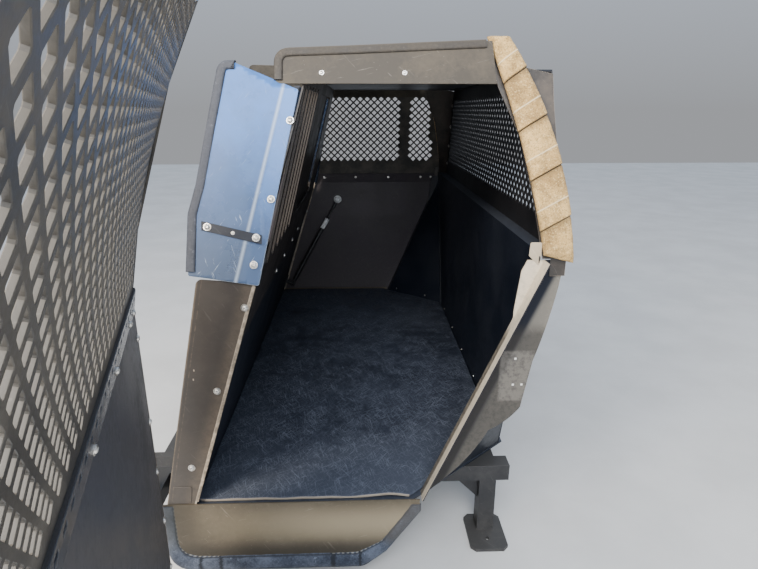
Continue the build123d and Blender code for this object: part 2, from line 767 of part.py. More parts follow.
rod_start = 80.0
rod_end = strut_length - 16
with BuildPart() as strut_rod:
    with BuildSketch(along_strut(rod_start)):
        Circle(rod_r)
    extrude(amount=rod_end - rod_start)
    with BuildSketch(along_strut(rod_end - 26)):
        Circle(7)
    extrude(amount=26)
save(strut_rod.part, "strut_rod")

with BuildPart() as strut_stud:
    with BuildSketch(upright(leaf_y)):
        with Locations((strut_head.X, strut_head.Z)):
            Rectangle(34, 44)
        chamfer(vertices(), 6)
    extrude(amount=4)
    with BuildSketch(upright(leaf_y - 4)):
        with Locations((strut_head.X, strut_head.Z)):
            Circle(5)
    extrude(amount=12)
    with BuildSketch(upright(strut_head.Y + 6)):
        with Locations((strut_head.X, strut_head.Z)):
            RegularPolygon(8, 8)
    extrude(amount=12)
save(strut_stud.part, "strut_stud")
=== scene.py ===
import math

import bpy
from mathutils import Matrix, Vector
from mathutils.geometry import delaunay_2d_cdt


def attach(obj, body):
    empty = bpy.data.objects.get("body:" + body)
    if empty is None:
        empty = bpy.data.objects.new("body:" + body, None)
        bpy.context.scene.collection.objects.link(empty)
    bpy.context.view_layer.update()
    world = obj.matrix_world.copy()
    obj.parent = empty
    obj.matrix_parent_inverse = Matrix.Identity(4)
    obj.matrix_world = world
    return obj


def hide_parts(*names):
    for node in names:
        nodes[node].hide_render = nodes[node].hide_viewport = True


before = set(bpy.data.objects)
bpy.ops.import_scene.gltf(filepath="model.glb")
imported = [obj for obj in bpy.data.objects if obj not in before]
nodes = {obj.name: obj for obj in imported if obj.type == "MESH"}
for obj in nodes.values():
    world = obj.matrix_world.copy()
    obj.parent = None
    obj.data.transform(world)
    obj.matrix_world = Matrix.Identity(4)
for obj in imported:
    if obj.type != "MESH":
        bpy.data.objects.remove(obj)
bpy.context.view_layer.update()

scene = bpy.context.scene

# Metres, in the frame of the CAD: X to the rear of the car, open side at -Y, Z up.
SIDES = {"near": -1, "far": 1}
SHEET = 0.003
DECK = 0.2
MAT_THICK = 0.006
BELT = 0.7
ROOF = 1.071
SIDE = 0.74
SLOPE = 0.376
LEAN = math.atan(SLOPE)
FRONT_FOOT = (-0.357, 0.2)
FRONT_KNEE = (-0.207, 0.67)
SCREEN_X = 0.378
HINGE = Vector((-0.481, -0.86, 0))
OPEN = math.radians(74)
SWING = Matrix.Translation(HINGE) @ Matrix.Rotation(-OPEN, 4, "Z") @ Matrix.Translation(-HINGE)
FLIP = Vector((1, -1, 1))
FORWARD = Vector((-1, 0, 0))
PITCH = 0.0287           # diagonal pitch of the perforated sheet
HOLE = 0.0148            # side of its square holes
NEAR_HOLE = 0.0138       # of those in the open leaf's guard
SCREEN_HOLE = 0.0136     # and of those in the rear screen
BEND_LINE = ((-0.229, 0.705), (-0.143, 1.04))      # (x, z) ends of the clear sheet's bend
STRUT_FOOT = Vector((-0.312, 0.69, 0.238))
STRUT_HEAD = Vector((-0.1, 0.735, 0.614))


# Helpers for places.

def on_side(x, z, out=0.0, side=-1):
    """Point of the leaning side wall at (x, z), out metres off its face; side is -1 near, 1 far."""
    y = -SIDE + SLOPE * (z - BELT) - out * math.cos(LEAN)
    return Vector((x, -side * y, z + out * math.sin(LEAN)))


def side_normal(side):
    return Vector((0, side * math.cos(LEAN), math.sin(LEAN)))


def up_slope(x, v, out, side):
    """The same point with v metres measured up the slope from the belt."""
    return on_side(x, BELT + v * math.cos(LEAN), out, side)


def on_slope(points):
    """(x, v) points on the slope from (x, z) ones."""
    return [(x, (z - BELT) / math.cos(LEAN)) for x, z in points]


# Helpers for meshes.

def piece(name, verts, faces, body, material, crease=40.0, replaces=(), marks=None):
    """A mesh piece that rides on a body; edges sharper than crease degrees stay sharp."""
    mesh = bpy.data.meshes.new(name)
    mesh.from_pydata([tuple(v) for v in verts], [], faces)
    mesh.validate()
    for key, values in (marks or {}).items():
        mesh.attributes.new(key, "FLOAT", "POINT").data.foreach_set("value", values)
    mesh.materials.append(material)
    obj = bpy.data.objects.new(name, mesh)
    scene.collection.objects.link(obj)
    bpy.context.view_layer.objects.active = obj
    obj.select_set(True)
    bpy.ops.object.mode_set(mode="EDIT")
    bpy.ops.mesh.select_all(action="SELECT")
    bpy.ops.mesh.normals_make_consistent(inside=False)
    bpy.ops.object.mode_set(mode="OBJECT")
    obj.select_set(False)
    mesh.shade_smooth()
    mesh.set_sharp_from_angle(angle=math.radians(crease))
    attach(obj, body)
    if replaces:
        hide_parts(*replaces)
    return obj


def shifted_ring(points, distance):
    """A closed ring of (u, v) points moved to its left by a distance, with mitred corners."""
    moved = []
    for i, point in enumerate(points):
        before = (point - points[i - 1]).normalized()
        after = (points[(i + 1) % len(points)] - point).normalized()
        left = Vector((-before.y - after.y, before.x + after.x))
        reach = max(0.3, left.length_squared / 2)
        moved.append(point + left * (distance / reach))
    return moved


def rounded(points, radius, steps=6, closed=False):
    """A line of (u, v) points with its inner corners rounded; radius is one number or one for each point."""
    made = []
    count = len(points)
    for i, point in enumerate(points):
        r = radius[i] if isinstance(radius, (list, tuple)) else radius
        here = Vector(point)
        if (not closed and i in (0, count - 1)) or r <= 0:
            made.append(here)
            continue
        back = Vector(points[i - 1]) - here
        ahead = Vector(points[(i + 1) % count]) - here
        reach = min(r / math.tan(back.angle(ahead) / 2), back.length * 0.49, ahead.length * 0.49)
        start, end = here + back.normalized() * reach, here + ahead.normalized() * reach
        for k in range(steps + 1):
            t = k / steps
            made.append(start.lerp(here, t).lerp(here.lerp(end, t), t))
    return made


def divided(ring, step):
    """A closed ring with points added so that none lie further apart than step."""
    made = []
    for i, point in enumerate(ring):
        after = ring[(i + 1) % len(ring)]
        count = max(1, math.ceil((after - point).length / step))
        made += [point.lerp(after, k / count) for k in range(count)]
    return made


def straight(start, end, steps):
    return [Vector(start).lerp(Vector(end), k / steps) for k in range(steps + 1)]


def line_length(line):
    return sum((b - a).length for a, b in zip(line, line[1:]))


def at_lengths(line, lengths):
    """Points of a line at the given lengths from its start."""
    made = []
    for want in lengths:
        for a, b in zip(line, line[1:]):
            length = (b - a).length
            if want <= length + 1e-9:
                made.append(a.lerp(b, want / max(length, 1e-9)))
                break
            want -= length
        else:
            made.append(line[-1].copy())
    return made


def resampled(line, step):
    """The same line with points an even step apart, and its end."""
    total = line_length(line)
    lengths = [step * k for k in range(int(total / step) + 1)]
    if total - lengths[-1] > step * 0.3:
        lengths.append(total)
    return at_lengths(line, lengths)


def inside(point, ring):
    """True if a (u, v) point lies within a ring."""
    found = False
    for i, a in enumerate(ring):
        b = ring[i - 1]
        if (a.y > point.y) != (b.y > point.y):
            if point.x < (b.x - a.x) * (point.y - a.y) / (b.y - a.y) + a.x:
                found = not found
    return found


def clearance(point, ring):
    """Distance from a point to a ring's line."""
    best = 1e9
    for i, a in enumerate(ring):
        along = ring[i - 1] - a
        t = max(0.0, min(1.0, (point - a).dot(along) / max(1e-12, along.length_squared)))
        best = min(best, (a + along * t - point).length)
    return best


def filled_sheet(outline, holes, grid, place, thick, bevel):
    """Vertices and faces of a sheet with holes. outline and holes are counter-clockwise (u, v) rings;
    grid spaces extra points; place(u, v, depth) puts a point in the frame."""
    inset = shifted_ring(outline, bevel)
    flat, rings = [], []
    for ring in [inset] + [shifted_ring(ring, -bevel) for ring in holes]:
        rings.append(list(range(len(flat), len(flat) + len(ring))))
        flat += ring
    if grid:
        us, vs = [p.x for p in outline], [p.y for p in outline]
        for i in range(int((max(us) - min(us)) / grid) + 1):
            for j in range(int((max(vs) - min(vs)) / grid) + 1):
                p = Vector((min(us) + (i + 0.5) * grid, min(vs) + (j + 0.5) * grid))
                if inside(p, inset):
                    flat.append(p)
    points, _, triangles, ids, _, belongs = delaunay_2d_cdt(flat, [], rings, 1, 1e-7, True)
    at = {k: found for found, origin in enumerate(ids) for k in origin}
    count = len(points)
    verts = [place(p.x, p.y, depth) for depth in (0.0, thick) for p in points]
    faces = []
    for triangle, owners in zip(triangles, belongs):
        if not any(owners):
            faces += [tuple(triangle), tuple(count + k for k in reversed(triangle))]
    for ring, exact in zip(rings, [outline, *holes]):
        upper = len(verts)
        lower = upper + len(ring)
        verts += [place(p.x, p.y, depth) for depth in (bevel, thick - bevel) for p in exact]
        for k, here in enumerate(ring):
            n = (k + 1) % len(ring)
            a, b = at[here], at[ring[n]]
            faces += [(a, b, upper + n, upper + k), (upper + k, upper + n, lower + n, lower + k),
                      (lower + k, lower + n, count + b, count + a)]
    return verts, faces


def diamond(centre, side, corner=0.08):
    """A square ring turned 45 degrees, with its corners cut by a share of the side."""
    tips = [Vector(tip) for tip in circle(side / math.sqrt(2), 4)]
    return [centre + tips[k].lerp(tips[(k + way) % 4], corner) for k in range(4) for way in (-1, 1)]


def diamond_field(window, first, side):
    """Diamond rings on the sheet's staggered grid that lie wholly within a window ring."""
    found = []
    row = 0
    u, v = first
    while v < max(p.y for p in window):
        while u < max(p.x for p in window):
            centre = Vector((u, v))
            if inside(centre, window) and clearance(centre, window) > side / math.sqrt(2) * 0.8:
                found.append(diamond(centre, side))
            u += PITCH
        row += 1
        u = first[0] + PITCH / 2 * (row % 2)
        v += PITCH / 2
    return found


def circle(radius, count):
    turns = [2 * math.pi * k / count for k in range(count)]
    return [(radius * math.cos(turn), radius * math.sin(turn)) for turn in turns]


def bowed(value, power):
    """A power of a number that keeps its sign."""
    return math.copysign(abs(value) ** power, value)


def oval(width, height, count=20):
    """A rounded section: (side, out) pairs of a superellipse, its underside at out = 0."""
    return [(bowed(c, 0.55) * width / 2, (bowed(s, 0.55) + 1) * height / 2) for c, s in circle(1, count)]


def tube_faces(rows, size):
    """Faces of a tube made of rows of size points, with both ends filled."""
    faces = []
    for start in range(0, (rows - 1) * size, size):
        for k in range(size):
            n = (k + 1) % size
            faces.append((start + k, start + size + k, start + size + n, start + n))
    return faces + [tuple(reversed(range(size))), tuple(range((rows - 1) * size, rows * size))]


def swept(path, out, section):
    """Vertices and faces of a section of (side, out) pairs swept along a path."""
    verts = []
    for i, point in enumerate(path):
        tangent = path[min(i + 1, len(path) - 1)] - path[max(i - 1, 0)]
        side = out.cross(tangent).normalized()
        verts += [point + side * a + out * b for a, b in section]
    return verts, tube_faces(len(path), len(section))


def turned(profile, place, normal, count=20):
    """Vertices and faces of a profile of (radius, height) turned about a normal at a place."""
    spin = normal.to_track_quat("Z", "Y").to_matrix()
    verts = [place + spin @ Vector((a, b, h)) for r, h in profile for a, b in circle(r, count)]
    return verts, tube_faces(len(profile), count)


# Helpers for finishes.

class Finish:
    """A node material on object coordinates, in metres."""

    def __init__(self, name, sockets=None):
        self.material = bpy.data.materials.new(name)
        self.material.use_nodes = True
        self.tree = self.material.node_tree
        self.shader = self.tree.nodes["Principled BSDF"]
        for key, value in (sockets or {}).items():
            self.shader.inputs[key].default_value = value
        self.place = self.node("TexCoord", {}, "Object")

    def put(self, socket, value):
        if isinstance(value, bpy.types.NodeSocket):
            self.tree.links.new(value, socket)
        else:
            socket.default_value = (*value, 1.0) if socket.type == "RGBA" else value

    def node(self, kind, inputs, output, **settings):
        """One output of a new node, with its inputs set or linked."""
        made = self.tree.nodes.new("ShaderNode" + kind)
        for key, value in settings.items():
            setattr(made, key, value)
        for key, value in inputs.items():
            self.put(made.inputs[key], value)
        return made.outputs[output]

    def stretched(self, scale, turn):
        """Object coordinates turned and then scaled, for grain and streaks."""
        place = self.node("Mapping", {"Vector": self.place, "Rotation": turn}, "Vector")
        return self.node("Mapping", {"Vector": place, "Scale": scale}, "Vector")

    def noise(self, scale, detail, rough, where=None, distortion=0.0):
        return self.node("TexNoise", {"Vector": where or self.place, "Scale": scale, "Detail": detail,
                                      "Roughness": rough, "Distortion": distortion}, "Fac")

    def cells(self, scale):
        return self.node("TexVoronoi", {"Vector": self.place, "Scale": scale}, "Distance")

    def span(self, value, low, high, out_low=0.0, out_high=1.0):
        """Map a value from low..high to out_low..out_high, held within it."""
        inputs = {"Value": value, "From Min": low, "From Max": high, "To Min": out_low, "To Max": out_high}
        return self.node("MapRange", inputs, "Result", interpolation_type="SMOOTHSTEP")

    def calc(self, operation, a, b=0.0):
        return self.node("Math", {0: a, 1: b}, 0, operation=operation)

    def mix(self, factor, a, b):
        return self.node("Mix", {0: factor, 6: a, 7: b}, 2, data_type="RGBA")

    def axis(self, name, where=None):
        return self.node("SeparateXYZ", {0: where or self.place}, name)

    def facing(self, name):
        """How far the surface faces along an axis."""
        return self.axis(name, self.node("NewGeometry", {}, "Normal"))

    def along(self, direction, start):
        """Distance of the surface along a direction from a start point."""
        dot = self.node("VectorMath", {0: self.place, 1: direction}, "Value", operation="DOT_PRODUCT")
        return self.calc("SUBTRACT", dot, Vector(direction).dot(Vector(start)))

    def product(self, first, *others):
        for other in others:
            first = self.calc("MULTIPLY", first, other)
        return first

    def band(self, value, low, high, soft=0.001):
        """1 where a value lies between low and high, fading over soft at both ends."""
        return self.product(self.span(value, low - soft, low + soft),
                            self.span(value, high - soft, high + soft, 1.0, 0.0))

    def spot(self, x, z, wide, high, soft=0.001):
        """1 on a block about (x, z), which reaches wide and high from its middle."""
        return self.product(self.band(self.axis("X"), x - wide, x + wide, soft),
                            self.band(self.axis("Z"), z - high, z + high, soft))

    def attribute(self, name):
        return self.node("Attribute", {}, "Fac", attribute_name=name)

    def color(self, value):
        self.put(self.shader.inputs["Base Color"], value)

    def over(self, value, *masks):
        """Lay a colour over what is there, where the masks' product is 1."""
        below = self.shader.inputs["Base Color"].links[0].from_socket
        self.color(self.mix(self.product(*masks), below, value))

    def roughness(self, value):
        self.put(self.shader.inputs["Roughness"], value)

    def bump(self, height, distance, strength):
        inputs = {"Distance": distance, "Strength": strength, "Height": height}
        if self.shader.inputs["Normal"].links:
            inputs["Normal"] = self.shader.inputs["Normal"].links[0].from_socket
        self.put(self.shader.inputs["Normal"], self.node("Bump", inputs, "Normal"))


def scaled(color, share, more=0.0):
    return tuple(min(1.0, c * share + more) for c in color)


def coated(name, base, dust, roughness=(0.34, 0.62), amount=0.5, low=None, scuffs=0.35, metallic=0.0,
           patch=7.0, specular=0.4):
    """Powder-coated sheet: dusty on its upper faces and in patches, with thin scuffs and specks."""
    f = Finish(name, {"Metallic": metallic, "Specular IOR Level": specular})
    fine = f.noise(patch * 14, 5.0, 0.7)
    level = f.span(f.calc("ADD", f.noise(patch, 6.0, 0.62), f.product(fine, 0.35)), 0.52, 0.86)
    above = f.span(f.facing("Z"), 0.25, 0.95, 0.0, 0.8)
    dusty = f.calc("MAXIMUM", f.product(level, amount), f.product(above, amount + 0.25))
    if low:
        foot = f.span(f.axis("Z"), *low, 0.75, 0.0)
        dusty = f.calc("MAXIMUM", dusty, f.product(foot, f.span(fine, 0.25, 0.7, 0.3, 1.0)))
    streaks = f.noise(1.0, 3.0, 0.6, f.stretched((18, 18, 420), (0.5, 0.25, 0.3)), 0.8)
    across = f.noise(1.0, 2.0, 0.5, f.stretched((300, 16, 22), (0.2, 0.7, -0.5)), 0.6)
    lines = f.calc("MAXIMUM", f.span(streaks, 0.66, 0.72, 0.0, scuffs),
                   f.span(across, 0.68, 0.73, 0.0, scuffs * 0.8))
    worn = f.calc("MAXIMUM", lines, f.span(f.cells(95.0), 0.05, 0.09, scuffs, 0.0))
    f.color(f.mix(worn, f.mix(dusty, base, dust), scaled(dust, 1.5, 0.12)))
    f.roughness(f.span(f.calc("ADD", dusty, f.product(fine, 0.3)), 0.0, 0.9, *roughness))
    f.bump(f.noise(700.0, 2.0, 0.5), 0.00012, 0.5)
    f.bump(f.noise(3.0, 2.0, 0.4), 0.004, 0.25)
    f.wear = fine
    return f


def bare_edge(name, color, roughness=0.45):
    """Worn edge of a coated sheet, where the metal and dust show."""
    f = Finish(name, {"Metallic": 0.2})
    wear = f.noise(55.0, 5.0, 0.7)
    f.color(f.mix(f.span(wear, 0.35, 0.7), scaled(color, 0.35), color))
    f.roughness(f.span(wear, 0.3, 0.8, roughness, roughness + 0.25))
    f.bump(wear, 0.0003, 0.5)
    return f.material


def make_mat():
    """Ribless rubber mat: blue-black, fibrous scratches crossing each other, dust and painted light toward the
    doorway.
    """
    f = Finish("mat", {"Specular IOR Level": 0.35})
    broad = f.noise(4.2, 6.0, 0.6)
    cloudy = f.noise(23.0, 6.0, 0.65)
    near = f.span(f.axis("Y"), -0.73, 0.5, 0.9, 0.6)
    veil = f.product(f.span(f.calc("ADD", broad, f.product(cloudy, 0.6)), 0.55, 1.0), near)
    f.color(f.mix(f.span(broad, 0.3, 0.7), (0.014, 0.018, 0.029), (0.021, 0.027, 0.043)))
    f.over((0.048, 0.058, 0.082), veil, 0.6)
    # Paler toward the doorway: dust, with painted light falling in through it.
    f.over((0.07, 0.082, 0.112), f.span(f.axis("Y"), -0.74, -0.35, 0.6, 0.0))
    fibres = 0.0
    for turn, thin in ((0.95, 430), (-1.0, 460), (1.35, 400), (-0.45, 480)):
        line = f.noise(1.0, 1.0, 0.5, f.stretched((26, thin, 30), (0, 0, turn)), 1.2)
        fibres = f.calc("MAXIMUM", f.span(line, 0.6, 0.66), fibres)
    f.over((0.15, 0.172, 0.22), fibres, f.span(cloudy, 0.35, 0.6, 0.2, 0.7), near)
    f.over((0.34, 0.29, 0.23), f.attribute("rim"))
    f.roughness(f.span(f.calc("ADD", cloudy, veil), 0.3, 1.1, 0.46, 0.78))
    f.bump(f.cells(520.0), 0.0005, 0.45)
    f.bump(f.noise(420.0, 3.0, 0.6), 0.0004, 0.4)
    f.bump(cloudy, 0.0015, 0.3)
    return f.material


def make_clear(name, shade):
    """Scratched plastic sheet, hazy, its sky blue a painted sky reflection, with pale edges and a painted
    highlight along its bend; shade darkens all its colours as painted shade.
    """
    f = Finish(name, {"IOR": 1.49, "Specular IOR Level": 0.27})
    haze = f.noise(9.0, 6.0, 0.65)
    long = f.noise(1.0, 3.0, 0.6, f.stretched((30, 30, 520), (0.0, 0.9, 0.2)), 0.5)
    cross = f.noise(1.0, 3.0, 0.6, f.stretched((380, 30, 26), (0.3, 0.4, 0.8)), 0.6)
    high = f.span(f.axis("Z"), 0.7, 1.06)
    scratches = f.product(f.calc("MAXIMUM", f.span(long, 0.66, 0.72), f.span(cross, 0.68, 0.73)),
                          f.span(high, 0.1, 0.9, 1.0, 0.35))
    past_bend = f.along((1.0, 0.0, -0.2567), (BEND_LINE[0][0], 0, BEND_LINE[0][1]))
    # A painted highlight along the bend.
    bend = f.band(past_bend, -0.003, 0.003, 0.0025)
    rim = f.attribute("rim")
    # Blue tones of a painted sky reflection, bluer higher up and past the bend.
    low_sky_reflection, high_sky_reflection, bent_sky_reflection, pale = (scaled(tone, shade) for tone in (
        (0.07, 0.105, 0.18), (0.088, 0.238, 0.62), (0.13, 0.3, 0.72), (0.55, 0.64, 0.76)))
    f.color(f.mix(f.product(high, f.span(haze, 0.2, 0.8, 0.6, 1.0)), low_sky_reflection, high_sky_reflection))
    f.over(bent_sky_reflection, f.span(past_bend, 0.0, 0.01), f.span(high, 0.0, 0.6, 0.1, 0.5))
    f.over(pale, scratches, 0.45)
    f.over(pale, bend, 0.5)
    f.over(pale, rim)
    cover = f.calc("ADD", f.span(haze, 0.3, 0.75, 0.7, 0.86), f.product(scratches, 0.12))
    cover = f.calc("MAXIMUM", cover, f.product(f.calc("MAXIMUM", rim, bend), 0.92))
    f.put(f.shader.inputs["Alpha"], f.calc("MINIMUM", cover, 0.95))
    f.roughness(f.span(haze, 0.3, 0.8, 0.22, 0.42))
    f.bump(scratches, 0.0001, 0.4)
    f.bump(f.noise(5.0, 2.0, 0.5), 0.006, 0.25)
    return f.material


def make_wrap():
    """Woven webbing: stained and speckled, with a painted highlight on its ridges and painted shadow in its
    creases and below each turn's edge.
    """
    f = Finish("wrap", {"Roughness": 0.85, "Sheen Weight": 0.1, "Sheen Roughness": 0.5,
                        "Specular IOR Level": 0.2})
    slanted = f.stretched((1, 1, 1), (0.0, 0.55, 0.0))
    threads = f.product(*(f.node("TexWave", {"Vector": slanted, "Scale": scale, "Distortion": distortion},
                                 "Fac", bands_direction=axis)
                          for axis, scale, distortion in (("Z", 170.0, 1.4), ("X", 120.0, 1.0))))
    blotch = f.noise(38.0, 6.0, 0.68)
    f.color(f.mix(f.span(f.noise(13.0, 4.0, 0.6), 0.3, 0.7), (0.41, 0.256, 0.096), (0.72, 0.47, 0.184)))
    f.over((0.2, 0.125, 0.052), f.span(blotch, 0.42, 0.66, 0.0, 0.6))
    f.over((0.16, 0.094, 0.035), f.span(f.noise(330.0, 3.0, 0.7), 0.52, 0.62, 0.0, 0.6))
    f.over((0.8, 0.6, 0.3), f.span(f.noise(290.0, 3.0, 0.7), 0.54, 0.64, 0.0, 0.6))
    # Painted shadow below each turn's edge and in the creases, and a painted highlight on the ridges.
    f.over((0.07, 0.048, 0.028), f.attribute("shade"), 0.6)
    f.over((0.9, 0.76, 0.5), f.attribute("ridge"), 0.8)
    f.over((0.018, 0.013, 0.01), f.attribute("crease"), 0.95)
    f.bump(threads, 0.0012, 0.7)
    f.bump(blotch, 0.0014, 0.5)
    return f.material


def make_vinyl(name, dark, light, amount):
    """Soft edging: grained vinyl with dust in its folds and worn patches."""
    f = Finish(name, {"Specular IOR Level": 0.35})
    patches = f.noise(16.0, 6.0, 0.65)
    fine = f.noise(210.0, 4.0, 0.6)
    level = f.product(f.span(f.calc("ADD", patches, f.product(fine, 0.4)), 0.5, 0.9), amount)
    above = f.span(f.facing("Z"), 0.2, 0.95, 0.0, 0.65)
    f.color(f.mix(f.calc("MAXIMUM", level, above), dark, light))
    f.over(scaled(light, 1.6), f.span(f.noise(90.0, 4.0, 0.7), 0.6, 0.7, 0.0, amount * 0.8))
    f.over(scaled(dark, 0.3), f.attribute("seam"), 0.9)
    f.over((0.3, 0.29, 0.26), f.attribute("stitch"))
    f.roughness(f.span(patches, 0.3, 0.7, 0.5, 0.8))
    f.bump(f.cells(640.0), 0.0006, 0.5)
    f.bump(fine, 0.0006, 0.5)
    return f


def make_sill_vinyl():
    """The sill's edging: blue-black along the bottom, dusty grey-green up the front end."""
    f = make_vinyl("edging", (0.016, 0.023, 0.04), (0.13, 0.152, 0.2), 0.75)
    f.over((0.05, 0.051, 0.045), f.span(f.axis("X"), -0.395, -0.365, 0.65, 0.0),
           f.span(f.axis("Z"), 0.06, 0.12))
    f.over((0.09, 0.08, 0.068), f.span(f.axis("X"), 0.03, 0.06, 0.0, 0.6), f.span(f.axis("Z"), 0.07, 0.11))
    return f.material


def make_zinc():
    f = Finish("zinc", {"Metallic": 1.0})
    tarnish = f.noise(240.0, 5.0, 0.65)
    f.color(f.mix(f.span(tarnish, 0.35, 0.7), (0.8, 0.79, 0.76), (0.42, 0.39, 0.34)))
    f.roughness(f.span(tarnish, 0.3, 0.7, 0.24, 0.5))
    f.bump(tarnish, 0.0002, 0.5)
    return f.material


def make_strut(name, base, roughness, metallic):
    f = Finish(name, {"Metallic": metallic})
    haze = f.noise(60.0, 5.0, 0.6)
    f.color(f.mix(f.span(haze, 0.4, 0.75, 0.0, 0.6), base, scaled(base, 0.6, 0.05)))
    f.roughness(f.span(haze, 0.3, 0.7, roughness, roughness + 0.18))
    f.bump(f.noise(900.0, 2.0, 0.5), 0.00008, 0.5)
    return f.material


# Cream of dust with painted sunlight, for the rear wing's lip and flange.
SUNLIT_DUST_CREAM = (0.64, 0.55, 0.42)
CREAM = (0.5, 0.43, 0.335)
TAN = (0.2, 0.155, 0.108)


def make_wing():
    """Front wing: dark and dusty, paler tan toward its rear fold with a cream line along it, tan lines by its
    front fold, and two specks.
    """
    f = coated("front_wing", (0.04, 0.0345, 0.031), (0.074, 0.063, 0.053), (0.34, 0.55), 0.35, (0.17, 0.4), 0.1)
    rear_fold = f.along((1.0, 0.0, -0.3191), (FRONT_FOOT[0], 0, FRONT_FOOT[1]))
    front_fold = f.along((1.0, 0.0, -0.2237), (-0.424, 0, 0.167))
    uneven = f.span(f.wear, 0.3, 0.7, 0.45, 1.0)
    f.over(TAN, f.span(rear_fold, -0.034, -0.001, 0.0, 0.3), uneven)
    f.over(CREAM, f.span(rear_fold, -0.0015, 0.0), uneven)
    f.over(TAN, f.span(front_fold, 0.0015, 0.0045, 0.7, 0.0), uneven)
    f.over(TAN, f.band(front_fold, 0.0095, 0.011, 0.0006), f.span(f.wear, 0.4, 0.7, 0.0, 0.5))
    for x, z in ((-0.328, 0.513), (-0.331, 0.493)):
        f.over(CREAM, f.spot(x, z, 0.0008, 0.002))
    return f.material


def make_rear_wing():
    """Rear wing: its coat paler with dust and painted sunlight, the lip's front face and the flange before it
    cream with dust and painted sunlight, a painted shadow of the lip on the face, and old tape marks on the
    face.
    """
    # The coat's pale tones are dust and painted sunlight.
    f = coated("rear_wing", (0.145, 0.133, 0.112), (0.3, 0.262, 0.205), (0.36, 0.62), 0.5, (0.17, 0.26), 0.12)
    off_middle = f.calc("ABSOLUTE", f.axis("Y"))
    side = f.span(off_middle, 0.707, 0.708)
    lip = f.along((0.918, 0.0, -0.396), (0.127, 0, 0.194))
    forward = f.span(f.facing("X"), -0.85, -0.45, 1.0, 0.0)
    f.over((0.016, 0.019, 0.026), f.span(off_middle, 0.7055, 0.7065, 1.0, 0.0))
    # Painted shadow that the lip casts on the face beside it: dark and matte.
    painted_lip_shadow = f.product(side, f.span(lip, -0.002, 0.002), f.span(lip, 0.029, 0.042, 1.0, 0.0),
                      f.calc("SUBTRACT", 1.0, forward))
    f.over((0.008, 0.01, 0.017), painted_lip_shadow)
    coat_roughness = f.shader.inputs["Roughness"].links[0].from_socket
    f.roughness(f.calc("MAXIMUM", coat_roughness, f.product(painted_lip_shadow, 0.95)))
    # The lip's front face and the flange before it: dust with painted sunlight on the faces toward the front.
    front = f.calc("MAXIMUM", forward, f.span(lip, -0.0005, 0.0015, 1.0, 0.0))
    f.over(SUNLIT_DUST_CREAM, front, side, f.span(f.wear, 0.25, 0.6, 0.7, 1.0))
    f.over((0.03, 0.027, 0.024), f.span(off_middle, 0.7215, 0.724, 1.0, 0.0), side,
           f.span(f.axis("Z"), 0.56, 0.6, 1.0, 0.0), f.span(f.wear, 0.25, 0.6, 0.95, 0.75))
    f.over((0.3, 0.275, 0.24), f.spot(0.3175, 0.4745, 0.0345, 0.0565, 0.003), side,
           f.span(f.wear, 0.3, 0.6, 0.1, 0.3))
    for x, z in ((0.314, 0.514), (0.313, 0.455), (0.331, 0.455)):
        f.over((0.75, 0.73, 0.7), f.spot(x, z, 0.0022, 0.0022), side)
    return f.material


def make_inner():
    """Inside panels: blue-black, with grey dust on what faces up."""
    f = coated("inner_panel", (0.006, 0.009, 0.017), (0.03, 0.034, 0.045), (0.36, 0.58), 0.3, scuffs=0.06)
    f.over((0.058, 0.068, 0.09), f.span(f.facing("Z"), 0.5, 0.95, 0.0, 0.8), f.span(f.wear, 0.3, 0.7, 0.4, 1.0))
    return f.material


def make_partition():
    """Front partition: its bars' sides toward the doorway carry tan dust and painted light."""
    f = coated("partition", (0.022, 0.019, 0.018), (0.06, 0.048, 0.04), (0.4, 0.65), 0.35, scuffs=0.08,
               patch=14.0)
    # Tan on the faces toward the doorway: dust and painted light.
    f.over((0.048, 0.039, 0.032), f.span(f.facing("Y"), -0.9, -0.5, 0.8, 0.0),
           f.span(f.wear, 0.3, 0.6, 0.3, 0.9))
    return f.material


def make_sill():
    """Sill plate: bronze satin, paler in the middle and darker toward its edges, as painted light and shade."""
    f = coated("sill_plate", (0.078, 0.064, 0.045), (0.19, 0.158, 0.114), (0.28, 0.46), 0.4, metallic=0.3)
    # Painted light: a paler band across the middle, brighter toward the rear.
    f.over((0.36, 0.295, 0.195), f.band(f.axis("Z"), 0.105, 0.18, 0.035),
           f.span(f.axis("X"), -0.42, -0.05, 0.1, 0.85))
    # Painted shade along the bottom and at the front end.
    f.over((0.036, 0.031, 0.023), f.span(f.axis("Z"), 0.068, 0.112, 0.8, 0.0))
    f.over((0.045, 0.038, 0.028), f.span(f.axis("X"), -0.4, -0.33, 0.5, 0.0))
    return f.material


def make_liner(name, base, direction):
    """Liner of a leaf: grey dust low down, curved rubs, and a tan strip at the hinge edge that is a painted
    reflection.
    """
    f = coated(name, base, (0.075, 0.07, 0.067), (0.34, 0.6), 0.45, (0.1, 0.6), 0.14)
    run = f.along(direction, HINGE)
    rubs = f.noise(1.0, 2.0, 0.5, f.stretched((9, 9, 120), (0.3, 0.5, 0.2)), 2.5)
    f.over((0.16, 0.15, 0.14), f.band(rubs, 0.64, 0.652, 0.004),
           f.span(f.noise(6.0, 2.0, 0.55), 0.5, 0.6, 0.0, 0.35))
    f.over((0.006, 0.006, 0.006), f.band(run, 0.048, 0.052, 0.0005))
    # Tan strip along the hinge edge: a painted reflection.
    f.over(TAN, f.span(run, 0.047, 0.048, 1.0, 0.0), f.span(f.wear, 0.3, 0.6, 0.5, 1.0))
    return f.material


